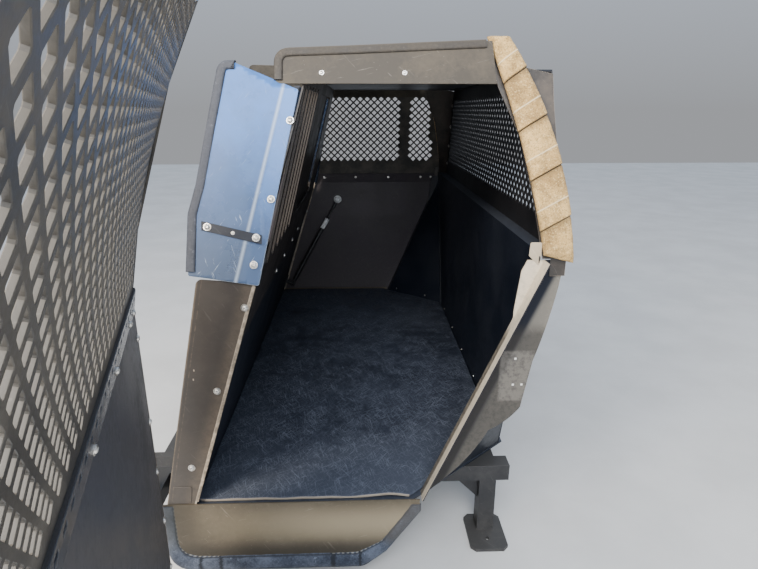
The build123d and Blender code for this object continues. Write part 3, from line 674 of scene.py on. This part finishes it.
INNER = make_inner()
PARTITION = make_partition()
WING = make_wing()
SILL = make_sill()
OUTER = coated("outer_panel", (0.032, 0.028, 0.025), (0.135, 0.108, 0.085), (0.32, 0.6), scuffs=0.16).material
GUARD = coated("guard", (0.045, 0.042, 0.038), (0.19, 0.165, 0.13), (0.34, 0.6), 0.42, scuffs=0.1,
               patch=16.0).material
BELT_COAT = coated("belt", (0.042, 0.05, 0.066), (0.2, 0.205, 0.215), (0.2, 0.42), 0.35, scuffs=0.15).material
SCREEN = coated("rear_screen", (0.007, 0.007, 0.009), (0.034, 0.032, 0.034), (0.45, 0.65), 0.3,
                scuffs=0.03).material
HEADER = coated("header", (0.05, 0.043, 0.034), (0.128, 0.108, 0.082), (0.48, 0.68), scuffs=0.3,
                specular=0.22).material
FRAME = coated("frame", (0.02, 0.02, 0.022), (0.08, 0.076, 0.07), (0.35, 0.6), 0.4, (0.0, 0.12), 0.15).material
# Pale cream of dust with painted sunlight, for the near gusset.
SUNLIT_GUSSET_COAT = coated("gusset", (0.42, 0.35, 0.255), (0.6, 0.51, 0.38), (0.4, 0.6), scuffs=0.1).material
BAR = coated("bar", (0.01, 0.013, 0.022), (0.038, 0.046, 0.066), (0.42, 0.6), 0.3, scuffs=0.1,
             specular=0.25).material
INNER_EDGE = bare_edge("inner_panel_edge", (0.15, 0.145, 0.14), 0.5)
PARTITION_EDGE = bare_edge("partition_edge", (0.215, 0.17, 0.125), 0.55)
OUTER_EDGE = bare_edge("outer_panel_edge", (0.55, 0.45, 0.34), 0.5)
SILL_EDGE = bare_edge("sill_plate_edge", (0.42, 0.35, 0.26))
LINER_EDGE = bare_edge("liner_edge", (0.34, 0.3, 0.25))
# Worn edge of the header, paler with painted sunlight along its lower edge.
HEADER_WORN_SUNLIT_EDGE = bare_edge("header_edge", (0.62, 0.5, 0.36))
FRAME_EDGE = bare_edge("frame_edge", (0.22, 0.2, 0.18))
LINERS = {"near": make_liner("liner_near", (0.06, 0.063, 0.076), (math.cos(OPEN), -math.sin(OPEN), 0)),
          "far": make_liner("liner_far", (0.038, 0.029, 0.038), (1, 0, 0))}
MAT = make_mat()
# The far sheet's colours are darkened to 0.09 of the near one's: painted shade.
CLEARS = {"near": make_clear("clear_near", 1.0), "far": make_clear("clear_far", 0.09)}
WRAP = make_wrap()
EDGING = make_sill_vinyl()
FELT = make_vinyl("rubber_edge", (0.032, 0.036, 0.048), (0.095, 0.101, 0.12), 0.5).material
HEADER_FELT = make_vinyl("header_rubber", (0.03, 0.026, 0.022), (0.125, 0.106, 0.084), 0.4).material
ZINC = make_zinc()
STRUT_BLACK = make_strut("strut_black", (0.012, 0.012, 0.013), 0.28, 0.0)
STRUT_ROD = make_strut("strut_rod", (0.05, 0.05, 0.053), 0.22, 0.7)
STRUT_LABEL = make_strut("strut_label", (0.95, 0.95, 0.94), 0.4, 0.0)


# CAD nodes that stay.

def dress(name, material, edge=None, width=0.0006):
    """Give a CAD node its finish, softened edges and smooth shading, with no change to its mesh."""
    obj = nodes[name]
    obj.data.materials.clear()
    obj.data.materials.append(material)
    if edge:
        obj.data.materials.append(edge)
    weld = obj.modifiers.new("weld", "WELD")
    weld.merge_threshold = 0.00002
    bevel = obj.modifiers.new("bevel", "BEVEL")
    bevel.width = width
    bevel.segments = 2
    bevel.limit_method = "ANGLE"
    bevel.angle_limit = math.radians(38)
    bevel.material = 1 if edge else -1
    bevel.miter_outer = "MITER_ARC"
    smooth = obj.modifiers.new("normals", "WEIGHTED_NORMAL")
    smooth.keep_sharp = False


for names, material, edge in (
        ("floor_pan front_panel rear_panel ceiling_panel", INNER, INNER_EDGE),
        ("slide_door door_tracks front_frame", PARTITION, PARTITION_EDGE),
        ("sill_plate_near sill_plate_far", SILL, SILL_EDGE),
        ("rear_post_near rear_post_far", OUTER, OUTER_EDGE),
        ("base_frame hinge_post_near hinge_post_far leaf_hinges_near leaf_hinges_far", FRAME, FRAME_EDGE),
        ("strut_bracket strut_cylinder strut_stud", STRUT_BLACK, None),
        ("strut_rod", STRUT_ROD, None), ("wing_bar_near wing_bar_far", BAR, None)):
    for name in names.split():
        dress(name, material, edge)
for end in SIDES:
    dress(f"front_wing_{end}", WING, OUTER_EDGE, 0.0008)
    dress(f"header_{end}", HEADER, HEADER_WORN_SUNLIT_EDGE, 0.0008)
    dress(f"leaf_liner_{end}", LINERS[end], LINER_EDGE)
dress("rear_wing_near", make_rear_wing(), OUTER_EDGE, 0.0008)
# The far rear wing takes the dark inner finish: painted shade, beside the near one's painted sunlight.
dress("rear_wing_far", INNER, INNER_EDGE, 0.0008)
dress("door_handle", ZINC, None, 0.001)


# Perforated guards of the leaves, along a profile through these (y, z) points.

GUARD_FOOT = (-0.755825, 0.704)
GUARD_BEND = (-0.7504, 0.735)
GUARD_MID = (-0.7115, 0.9)
GUARD_TOP = (-0.602, 1.168)


def circle_through(a, b, c):
    """Centre and radius of the circle through three points."""
    d = 2 * (a[0] * (b[1] - c[1]) + b[0] * (c[1] - a[1]) + c[0] * (a[1] - b[1]))
    squares = [p[0] ** 2 + p[1] ** 2 for p in (a, b, c)]
    y = (squares[0] * (b[1] - c[1]) + squares[1] * (c[1] - a[1]) + squares[2] * (a[1] - b[1])) / d
    z = (squares[0] * (c[0] - b[0]) + squares[1] * (a[0] - c[0]) + squares[2] * (b[0] - a[0])) / d
    return Vector((y, z)), math.hypot(a[0] - y, a[1] - z)


GUARD_CENTRE, GUARD_RADIUS = circle_through(GUARD_BEND, GUARD_MID, GUARD_TOP)
FOOT_RUN = math.dist(GUARD_FOOT, GUARD_BEND)
BEND_ANGLE = math.atan2(GUARD_BEND[1] - GUARD_CENTRE.y, GUARD_BEND[0] - GUARD_CENTRE.x)


def guard_point(x, s, depth):
    """Point of the closed near guard, s metres up its profile and depth metres out from its inner face."""
    if s < FOOT_RUN:
        line = (Vector(GUARD_BEND) - Vector(GUARD_FOOT)).normalized()
        here = Vector(GUARD_FOOT) + line * s
        out = Vector((-line.y, line.x))
    else:
        angle = BEND_ANGLE - (s - FOOT_RUN) / GUARD_RADIUS
        out = Vector((math.cos(angle), math.sin(angle)))
        here = GUARD_CENTRE + out * GUARD_RADIUS
    return Vector((x, *(here + out * depth)))


def guard_run(z):
    """Metres up the guard's profile for a height."""
    if z <= GUARD_BEND[1]:
        return (z - GUARD_FOOT[1]) / (GUARD_BEND[1] - GUARD_FOOT[1]) * FOOT_RUN
    angle = math.pi - math.asin((z - GUARD_CENTRE.y) / GUARD_RADIUS)
    return FOOT_RUN + (BEND_ANGLE % (2 * math.pi) - angle) * GUARD_RADIUS


def guard_ring(points, radius=0.0):
    """A counter-clockwise (x, run) ring from (x, z) points."""
    return rounded([(x, guard_run(z)) for x, z in points], radius, 5, True)


def to_leaf(end, point):
    """Where a leaf at rest, near open or far closed, has a point of the closed near leaf."""
    return SWING @ point if end == "near" else point * FLIP


def make_leaf_sheet(name, end, ring, holes, grid, sink, thick, bevel, coat, replaces=()):
    """A sheet that follows the guard's curve, sink metres in from the guard's inner face."""
    def place(x, run, depth):
        return to_leaf(end, guard_point(x, run, depth - sink))

    verts, faces = filled_sheet(ring, holes, grid, place, thick, bevel)
    piece(f"{name}_{end}", verts, faces, f"{end}_leaf", coat, 25.0, replaces)


NEAR_WINDOW = ((-0.43, 0.736), (0.36, 0.736), (0.354, 0.94), (0.327, 1.104), (0.06, 1.144), (-0.43, 1.157))
FAR_WINDOWS = (((-0.408, 0.78), (0.178, 0.78), (0.178, 1.052), (-0.408, 1.052)),
               ((0.206, 0.78), (0.326, 0.78), (0.298, 1.052), (0.206, 1.052)))
guard_outline = divided(guard_ring(((-0.432, 0.704), (0.368, 0.704), (0.362, 0.94), (0.334, 1.112),
                                    (0.06, 1.152), (-0.432, 1.165)), (0, 0, 0, 0.024, 0, 0.024)), 0.012)
for end, windows, first, hole in (("near", (NEAR_WINDOW,), (-0.407, guard_run(0.752)), NEAR_HOLE),
                                  ("far", FAR_WINDOWS, (-0.396, guard_run(0.792)), HOLE)):
    holes = [ring for window in windows for ring in diamond_field(guard_ring(window), first, hole)]
    make_leaf_sheet("guard_mesh", end, guard_outline, holes, 0.02, 0.0, SHEET, 0.0004, GUARD,
                    (f"leaf_guard_{end}",))

# The strips that clamp the guards' feet, with a row of slots in the near leaf's.
SLOT = ((-0.008, -0.0034), (0.008, -0.0034), (0.006, 0.0034), (-0.006, 0.0034))
strip = divided(guard_ring(((-0.43, 0.689), (0.366, 0.689), (0.366, 0.727), (-0.43, 0.727))), 0.02)
slots = [rounded([(-0.407 + k * PITCH + a, guard_run(0.7165) + b) for a, b in SLOT], 0.0022, 3, True)
         for k in range(27)]
for end, holes, coat in (("near", slots, BELT_COAT), ("far", [], LINERS["far"])):
    make_leaf_sheet("guard_belt", end, strip, holes, 0, 0.0042, 0.0012, 0.0003, coat)


# Rear screen, with a flange along its top.

def screen_half(z):
    return SIDE - SHEET - SLOPE * (z - BELT) - 0.0174


def screen_ring(low, high, margin):
    """A counter-clockwise (y, z) ring that keeps a margin from the screen's sides."""
    return [Vector((way * (screen_half(z) - margin), z))
            for way, z in ((-1, low), (1, low), (1, high), (-1, high))]


verts, faces = filled_sheet(screen_ring(0.735, ROOF, 0.0),
                            diamond_field(screen_ring(0.782, 1.036, 0.026), (-0.66, 0.795), SCREEN_HOLE), 0.03,
                            lambda u, v, depth: Vector((SCREEN_X + depth, u, v)), SHEET, 0.0004)
faces += [tuple(len(verts) + k for k in ring) for ring in tube_faces(2, 4)]
verts += [Vector((SCREEN_X + x, y, ROOF + z)) for y in (-screen_half(ROOF), screen_half(ROOF))
          for x, z in ((-0.017, -SHEET), (SHEET, -SHEET), (SHEET, 0), (-0.017, 0))]
piece("screen_mesh", verts, faces, "kennel", SCREEN, 25.0, ("rear_screen",))


# Floor mat.

def mat_wave(x, y):
    """Small waves of the mat's top, more along its open edge."""
    near = max(0.0, 1 - (y + 0.727) / 0.06)
    waves = 0.0009 * math.sin(x * 11 + y * 5) * math.sin(y * 9 - x * 4 + 1.3)
    waves += 0.0006 * math.sin(x * 23 - y * 17)
    hump = math.exp(-((x - 0.055) / 0.035) ** 2) * 0.0055
    ripple = 0.0008 * math.sin(x * 46) + 0.0006 * math.sin(x * 87 + 1)
    return waves * (1 - near) + near * near * (hump + 0.0012 + ripple)


def mat_place(x, y, depth):
    lift = mat_wave(x, y)
    return Vector((x, y, DECK - depth + (lift if depth < MAT_THICK / 2 else max(0.0, lift - 0.0012))))


mat_outline = rounded([(-0.357, -0.727), (0.1, -0.727), (0.344, -0.517), (0.344, 0.517), (0.1, 0.727),
                       (-0.357, 0.727)], 0.012, 4, True)
verts, faces = filled_sheet(divided(mat_outline, 0.008), [], 0.011, mat_place, MAT_THICK, 0.0014)
rims = [1.0 if v.y < -0.7262 and -0.35 < v.x < 0.1 else 0.0 for v in verts]
piece("mat_rubber", verts, faces, "kennel", MAT, 50.0, ("floor_mat",), {"rim": rims})


# Wrapped padding on the doorways' rear edges.

PAD_BACK = -0.0155
PAD_THICK = 0.02
PAD_LENGTH = 0.425
WRAP_STEP = 0.0968       # from one turn of the wrapping to the next
WRAP_START = 0.0531      # height of the first turn's edge
WRAP_SLANT = 0.53        # how steeply the turns rise to the rear
PAD_FRONT = on_slope(((0.349, 0.742), (0.308, 0.958), (0.25, 1.136)))
PAD_REAR = on_slope(((0.406, 0.742), (0.373, 0.962), (0.293, 1.136)))
PAD_RUN = 400
PAD_ROUND = 28


def arc_point(points, t):
    """Point at a share t of the way along the arc through three (x, v) points."""
    centre, radius = circle_through(*points)
    start, end = (math.atan2(p[1] - centre.y, p[0] - centre.x) for p in (points[0], points[2]))
    angle = start + math.remainder(end - start, 2 * math.pi) * t
    return Vector((centre.x + radius * math.cos(angle), centre.y + radius * math.sin(angle)))


def make_pad(end):
    """Padded sleeve wound with webbing: each turn laps over the one below, its points in slanted rows."""
    marks = {"crease": [], "ridge": [], "shade": []}
    verts = []
    for i in range(PAD_RUN + 1):
        row = PAD_LENGTH * i / PAD_RUN
        from_end = min(row, PAD_LENGTH - row)
        fullness = 0.4 + 0.6 * min(1.0, from_end / 0.006)
        slant = WRAP_SLANT * min(1.0, from_end / 0.022)
        phase = (row - WRAP_START) / WRAP_STEP % 1.0
        lap = 0.003 * (1 - phase) - 0.001
        crease = max(0.0, 1 - min(phase, 1 - phase) / 0.022)
        ridge = max(0.0, 1 - abs(phase - 0.38) / 0.02)
        shade = max(0.0, (phase - 0.86) / 0.14)
        for c, s in circle(1, PAD_ROUND):
            across = (1 - bowed(c, 0.75)) / 2
            tail = max(0.0, 1 - row / 0.04) * (0.006 + 0.014 * across)
            t = (row + slant * 0.055 * (across - 0.5) - tail) / PAD_LENGTH
            puff = lap - 0.003 * crease + 0.0012 * ridge
            puff += 0.0005 * math.sin(row * 310 + across * 7) * (0.4 + 0.6 * abs(s))
            share = 0.5 + (across - 0.5) * (1 + puff * 18 * (0.5 if abs(c) > 0.3 else 0))
            place = arc_point(PAD_FRONT, t).lerp(arc_point(PAD_REAR, t), share)
            power, half, swell = (0.62, 0.64, 1.0) if s > 0 else (0.5, 0.34, 0.4)
            out = PAD_BACK + PAD_THICK * (0.36 + bowed(s, power) * half * fullness) + puff * swell
            verts.append(up_slope(place.x, place.y, out, SIDES[end]))
            # The crease and shade marks carry painted shadow; the ridge marks carry a painted highlight.
            for key, mark in (("crease", crease), ("ridge", ridge), ("shade", shade)):
                marks[key].append(mark if s > -0.5 else 0.0)
    pad = piece(f"wrapped_pad_{end}", verts, tube_faces(PAD_RUN + 1, PAD_ROUND), "kennel", WRAP, 60.0,
                (f"edge_pad_{end}",), marks)
    return pad


for end in SIDES:
    make_pad(end)


# Edgings.

def make_trim(kind, end, line, radius, sink, section, material):
    """Soft edging along (x, z) points on the slope; the clear sheet's has its end cut aslant."""
    side = SIDES[end]
    path = [up_slope(p.x, p.y, -sink, side) for p in resampled(rounded(on_slope(line), radius, 8), 0.004)]
    verts, faces = swept(path, side_normal(side), section)
    if kind == "clear":
        for k, (a, _) in enumerate(section, len(verts) - len(section)):
            verts[k] = verts[k] + Vector((-side * a * 0.55 - 0.005, 0, 0))
    zeros = [0.0] * len(verts)
    piece(f"{kind}_edging_{end}", verts, faces, "kennel", material, 50.0, (f"{kind}_trim_{end}",),
          {"seam": zeros, "stitch": zeros})


for end in SIDES:
    make_trim("header", end, ((-0.152, 1.051), (-0.152, 1.101), (-0.02, 1.106), (0.246, 1.118)), 0.022, 0.004,
              oval(0.017, 0.0112), HEADER_FELT)
    make_trim("clear", end, ((-0.314, 0.712), (-0.311, 0.812), (-0.297, 0.862), (-0.257, 1.078),
                             (-0.232, 1.078)), 0.018, 0.005, oval(0.018, 0.0132), FELT)

SILL_OUTER = ((-0.427, 0.197), (-0.427, 0.023), (0, 0.023), (0.05, 0.064), (0.125, 0.169), (0.125, 0.188))
SILL_INNER = ((-0.4, 0.197), (-0.4, 0.068), (-0.014, 0.068), (0.039, 0.096), (0.102, 0.188), (0.103, 0.1885))
SILL_SEAMS = ((-0.358, 0.004), (-0.314, 0.004), (-0.068, 0.005), (-0.008, 0.003))      # (x, half width)
SILL_STEPS = 260
SILL_ACROSS = 14


def make_sill_edging(end):
    """Wide stitched edging round the sill plate: crowned between an outer and an inner line."""
    side = SIDES[end]
    lines = [rounded(SILL_OUTER, (0, 0.062, 0.036, 0.036, 0.01, 0), 8),
             rounded(SILL_INNER, (0, 0.048, 0.036, 0.036, 0, 0), 8)]
    outer, inner = (at_lengths(line, [line_length(line) * i / SILL_STEPS for i in range(SILL_STEPS + 1)])
                    for line in lines)
    verts, seams, stitches = [], [], []
    for i, (a, b) in enumerate(zip(outer, inner)):
        back = []
        for k in range(SILL_ACROSS + 1):
            t = k / SILL_ACROSS
            p = a.lerp(b, t)
            crown = 1 - abs(2 * t - 1) ** 2.6
            wave = 0.0006 * math.sin(i * 0.19 + t * 3) + 0.0004 * math.sin(i * 0.61)
            verts.append(Vector((p.x, side * (SIDE + 0.0009 + (0.0061 + wave) * crown), p.y)))
            back.append(Vector((p.x, side * (SIDE + 0.0002), p.y)))
            crossed = p.y < 0.07 and any(abs(p.x - place) < wide for place, wide in SILL_SEAMS)
            seams.append(1.0 if crossed or 0.8 < t < 0.9 else 0.0)
            sewn = p.x < -0.315 or -0.075 < p.x < 0.045
            stitches.append(0.8 if sewn and 0.9 <= t < 0.96 and i % 4 < 2 else 0.0)
        verts += reversed(back)
        seams += [0.0] * len(back)
        stitches += [0.0] * len(back)
    edging = piece(f"sill_edging_{end}", verts, tube_faces(SILL_STEPS + 1, 2 * SILL_ACROSS + 2), "kennel",
                   EDGING, 55.0, (f"sill_trim_{end}",), {"seam": seams, "stitch": stitches})
    return edging


for end in SIDES:
    make_sill_edging(end)


# Clear wings.

CLEAR_CORNERS = ((-0.319, 0.705), (-0.19, 0.687), (-0.114, 1.036), (-0.16, 1.042), (-0.172, 1.049),
                 (-0.234, 1.083), (-0.262, 1.083), (-0.302, 0.862), (-0.316, 0.812))
CLEAR_RADII = (0.004, 0.004, 0.006, 0.004, 0.004, 0.004, 0.016, 0.004, 0.004)


def behind_bend(x, v):
    """Metres that a point of the clear sheet lies to the rear of its bend line."""
    (low_x, low_z), (high_x, high_z) = BEND_LINE
    return x - low_x - (high_x - low_x) * (BELT + v * math.cos(LEAN) - low_z) / (high_z - low_z)


def make_clear_wing(end):
    def place(x, v, depth):
        out = depth - 0.1 * max(0.0, behind_bend(x, v)) + 0.0018 * math.sin(v * 8)
        return up_slope(x, v, out, SIDES[end])

    ring = divided(rounded(on_slope(CLEAR_CORNERS), CLEAR_RADII, 5, True), 0.01)
    verts, faces = filled_sheet(ring, [], 0.008, place, 0.004, 0.0006)
    rims = [0.0] * (len(verts) - 2 * len(ring)) + [1.0] * (2 * len(ring))
    piece(f"clear_sheet_{end}", verts, faces, "kennel", CLEARS[end], 40.0,
          (f"clear_wing_{end}",), {"rim": rims})


for end in SIDES:
    make_clear_wing(end)


# Bolts.

PAN_HEAD = ((0.0002, -0.0006), (0.0078, -0.0006), (0.008, 0.0004), (0.0076, 0.0011), (0.0056, 0.0012),
            (0.0055, 0.002), (0.005, 0.0033), (0.0038, 0.0042), (0.0022, 0.0046), (0.0019, 0.0032),
            (0.0004, 0.0031))      # (radius, height)
WING_FACE = 0.7402
REAR_PANEL_X = 0.3448
JOINT_HEIGHT = 0.213
FRONT_NORMAL = Vector((FRONT_KNEE[1] - FRONT_FOOT[1], 0, FRONT_FOOT[0] - FRONT_KNEE[0])).normalized()


def bolts(name, body, places, scale):
    """One piece of pan-head bolts on washers at (place, normal) pairs."""
    verts, faces = [], []
    for place, normal in places:
        more, rings = turned([(r * scale, h * scale) for r, h in PAN_HEAD], place, normal)
        faces += [tuple(len(verts) + k for k in ring) for ring in rings]
        verts += more
    piece(name, verts, faces, body, ZINC, 35.0)


def front_point(y, z, out):
    """Point on the lower front panel's inner face."""
    share = (z - FRONT_FOOT[1]) / (FRONT_KNEE[1] - FRONT_FOOT[1])
    return Vector((FRONT_FOOT[0] + (FRONT_KNEE[0] - FRONT_FOOT[0]) * share, y, z)) + FRONT_NORMAL * out


kennel_bolts, header_bolts, joint_bolts = [], [], []
for side in SIDES.values():
    up = side_normal(side)
    kennel_bolts += [(Vector((x, WING_FACE * side, z)), Vector((0, side, 0)))
                     for x, z in ((-0.22, 0.642), (-0.287, 0.467), (-0.355, 0.29))]
    kennel_bolts += [(on_side(x, z, out, side), up)
                     for x, z, out in ((-0.13, 0.978, 0.004), (-0.166, 0.838, 0.004), (-0.198, 0.723, 0.004),
                                       (-0.283, 0.7895, 0.0072), (-0.193, 0.77, 0.0072))]
    kennel_bolts += [(Vector((SCREEN_X - 0.0002, (screen_half(z) - 0.01) * side, z)), FORWARD)
                     for z in (0.778, 0.852, 0.93, 1.012)]
    header_bolts += [(on_side(x, 1.0645, 0.003, side), up) for x in (-0.07, 0.088)]
    joint_bolts.append((on_side(-0.236, 0.7785, 0.0072, side), up))
    joint_bolts += [(Vector((x, y * side, JOINT_HEIGHT)), Vector((-0.652, -0.758 * side, 0)))
                    for x, y in ((0.164, 0.677), (0.283, 0.574))]
kennel_bolts += [(front_point(y, 0.572, 0.003), FRONT_NORMAL) for y in (-0.245, -0.075, 0.135, 0.315, 0.69)]
joint_bolts += [(Vector((REAR_PANEL_X, y, JOINT_HEIGHT)), FORWARD) for y in (0.4, 0.2, 0, -0.2, -0.4)]
bolts("bolts_kennel", "kennel", kennel_bolts, 0.95)
bolts("bolts_header", "kennel", header_bolts, 0.6)
bolts("bolts_floor_joint", "kennel", joint_bolts, 0.45)


def leaf_bolts(end, belt, belt_high, top, top_high, scale):
    """A leaf's bolts, placed on the closed near leaf: along its belt and top and down its hinge edge."""
    inward, guard_in = Vector((0, 1, 0)), Vector((0, 0.93, -0.37))
    found = [(guard_point(x, guard_run(belt_high), -0.0043), inward) for x in belt]
    found += [(guard_point(x, guard_run(top_high), -0.0002), guard_in) for x in top]
    found += [(Vector((-0.4235, -0.7548, z)), inward) for z in (0.645, 0.49, 0.39, 0.285, 0.18)]
    turn = SWING.to_3x3()
    bolts(f"bolts_{end}_leaf", f"{end}_leaf",
          [(to_leaf(end, place), turn @ way if end == "near" else way * FLIP) for place, way in found], scale)


leaf_bolts("near", (-0.4, -0.35, -0.19, -0.02, 0.15, 0.32), 0.698, (-0.35, -0.17, 0.01), 1.14, 0.8)
leaf_bolts("far", (-0.33, -0.157, -0.018, 0.127, 0.271, 0.316), 0.712, (-0.27, -0.095, 0.078, 0.277), 1.071,
           0.6)


# Small plates, folds and the strut's ball and label.

STRIP_SECTION = ((-0.012, -0.0006), (0.012, -0.0006), (0.012, 0.0006), (0.011, 0.001), (-0.011, 0.001),
                 (-0.012, 0.0006))

# The near gusset is painted sunlit cream; the far one keeps the outer coat.
for end, side in SIDES.items():
    for name, coat, y, corners in (
            ("gusset", SUNLIT_GUSSET_COAT if end == "near" else OUTER, 0.7118,
             ((0.3235, 0.731), (0.345, 0.71), (0.3475, 0.7325), (0.3475, 0.757), (0.325, 0.757))),
            ("wing_corner", WING, 0.7414,
             ((-0.403, 0.205), (-0.364, 0.204), (-0.359, 0.243), (-0.398, 0.244)))):
        verts, faces = filled_sheet(rounded(corners, 0.003, 3, True), [], 0,
                                    lambda u, v, depth: Vector((u, (y - depth) * side, v)), 0.0016, 0.0004)
        piece(f"{name}_{end}", verts, faces, "kennel", coat, 30.0)

for end, side in SIDES.items():
    fold = straight((-0.352, 0.7385 * side, 0.206), (-0.1995, 0.7385 * side, 0.684), 60)
    verts, faces = swept(fold, Vector((0, side, 0)), [(a, b - 0.002) for a, b in oval(0.0062, 0.004, 16)])
    piece(f"wing_fold_{end}", verts, faces, "kennel", OUTER_EDGE, 50.0)
    joint = straight((0.3442, -0.516 * side, 0.197), (0.3442, -0.705 * side, 0.733), 60)
    verts, faces = swept(joint, FORWARD, STRIP_SECTION)
    piece(f"corner_strip_{end}", verts, faces, "kennel", INNER, 30.0)

ball = [(0.0168, -0.0124), (0.0174, -0.0118), (0.0172, -0.0106)]
ball += [(0.013 * math.sin(turn) + 0.0001, -0.0105 * math.cos(turn))
         for turn in (k * math.pi / 12 for k in range(2, 13))]
verts, faces = turned(ball, STRUT_HEAD, Vector((0, -1, 0)), 24)
piece("strut_ball", verts, faces, "far_leaf", STRUT_LABEL, 50.0)

strut_way = (STRUT_HEAD - STRUT_FOOT).normalized()
label = straight(STRUT_FOOT + strut_way * 0.289, STRUT_FOOT + strut_way * 0.338, 49)
verts, faces = swept(label, Vector((0, 1, 0)).cross(strut_way).normalized(), circle(0.00995, 24))
piece("strut_sleeve", verts, faces, "strut_cylinder", STRUT_LABEL, 40.0)


# Camera, light and floor.

def added(name, data):
    obj = bpy.data.objects.new(name, data)
    scene.collection.objects.link(obj)
    return obj


camera = added("camera", bpy.data.cameras.new("camera"))
camera.data.sensor_width = 36.0
camera.data.lens = 550.0 / 758.0 * camera.data.sensor_width     # focal length and photo's width in pixels
camera.data.clip_start = 0.01
camera.location = (0.0, -1.725, 1.0)
camera.rotation_euler = (math.radians(90 - 17.70), 0.0, math.radians(-1.985))
scene.camera = camera

floor_mesh = bpy.data.meshes.new("floor")
floor_mesh.from_pydata([(-9, -9, 0), (9, -9, 0), (9, 9, 0), (-9, 9, 0)], [], [(0, 1, 2, 3)])
ground = Finish("floor", {"Roughness": 0.8})
ground.color(ground.mix(ground.span(ground.noise(3.0, 5.0, 0.6), 0.3, 0.7), (0.62, 0.61, 0.59),
                        (0.7, 0.69, 0.67)))
floor_mesh.materials.append(ground.material)
added("floor", floor_mesh)

world = bpy.data.worlds.new("studio")
world.use_nodes = True
dome = world.node_tree
height = dome.nodes.new("ShaderNodeSeparateXYZ")
dome.links.new(dome.nodes.new("ShaderNodeTexCoord").outputs["Generated"], height.inputs[0])
ramp = dome.nodes.new("ShaderNodeValToRGB")
low, high = ramp.color_ramp.elements
low.position, low.color = 0.0, (0.36, 0.37, 0.39, 1.0)
high.position, high.color = 0.55, (0.72, 0.83, 1.0, 1.0)
dome.links.new(height.outputs["Z"], ramp.inputs["Fac"])
dome.links.new(ramp.outputs["Color"], dome.nodes["Background"].inputs["Color"])
dome.nodes["Background"].inputs["Strength"].default_value = 1.0
scene.world = world


def area_light(name, place, target, size, power, color):
    data = bpy.data.lights.new(name, "AREA")
    data.shape = "DISK"
    data.size = size
    data.energy = power
    data.color = color
    lamp = added(name, data)
    lamp.location = place
    lamp.rotation_euler = (Vector(target) - Vector(place)).to_track_quat("-Z", "Y").to_euler()


area_light("key", (-1.9, -2.7, 2.6), (0.1, -0.7, 0.7), 1.4, 195.0, (1.0, 0.90, 0.76))
area_light("fill", (-0.1, -3.2, 3.1), (0.1, -0.4, 0.4), 2.2, 150.0, (0.95, 0.97, 1.0))
area_light("low", (0.2, -3.6, 1.5), (0.1, 0.2, 0.5), 1.8, 38.0, (0.88, 0.93, 1.0))
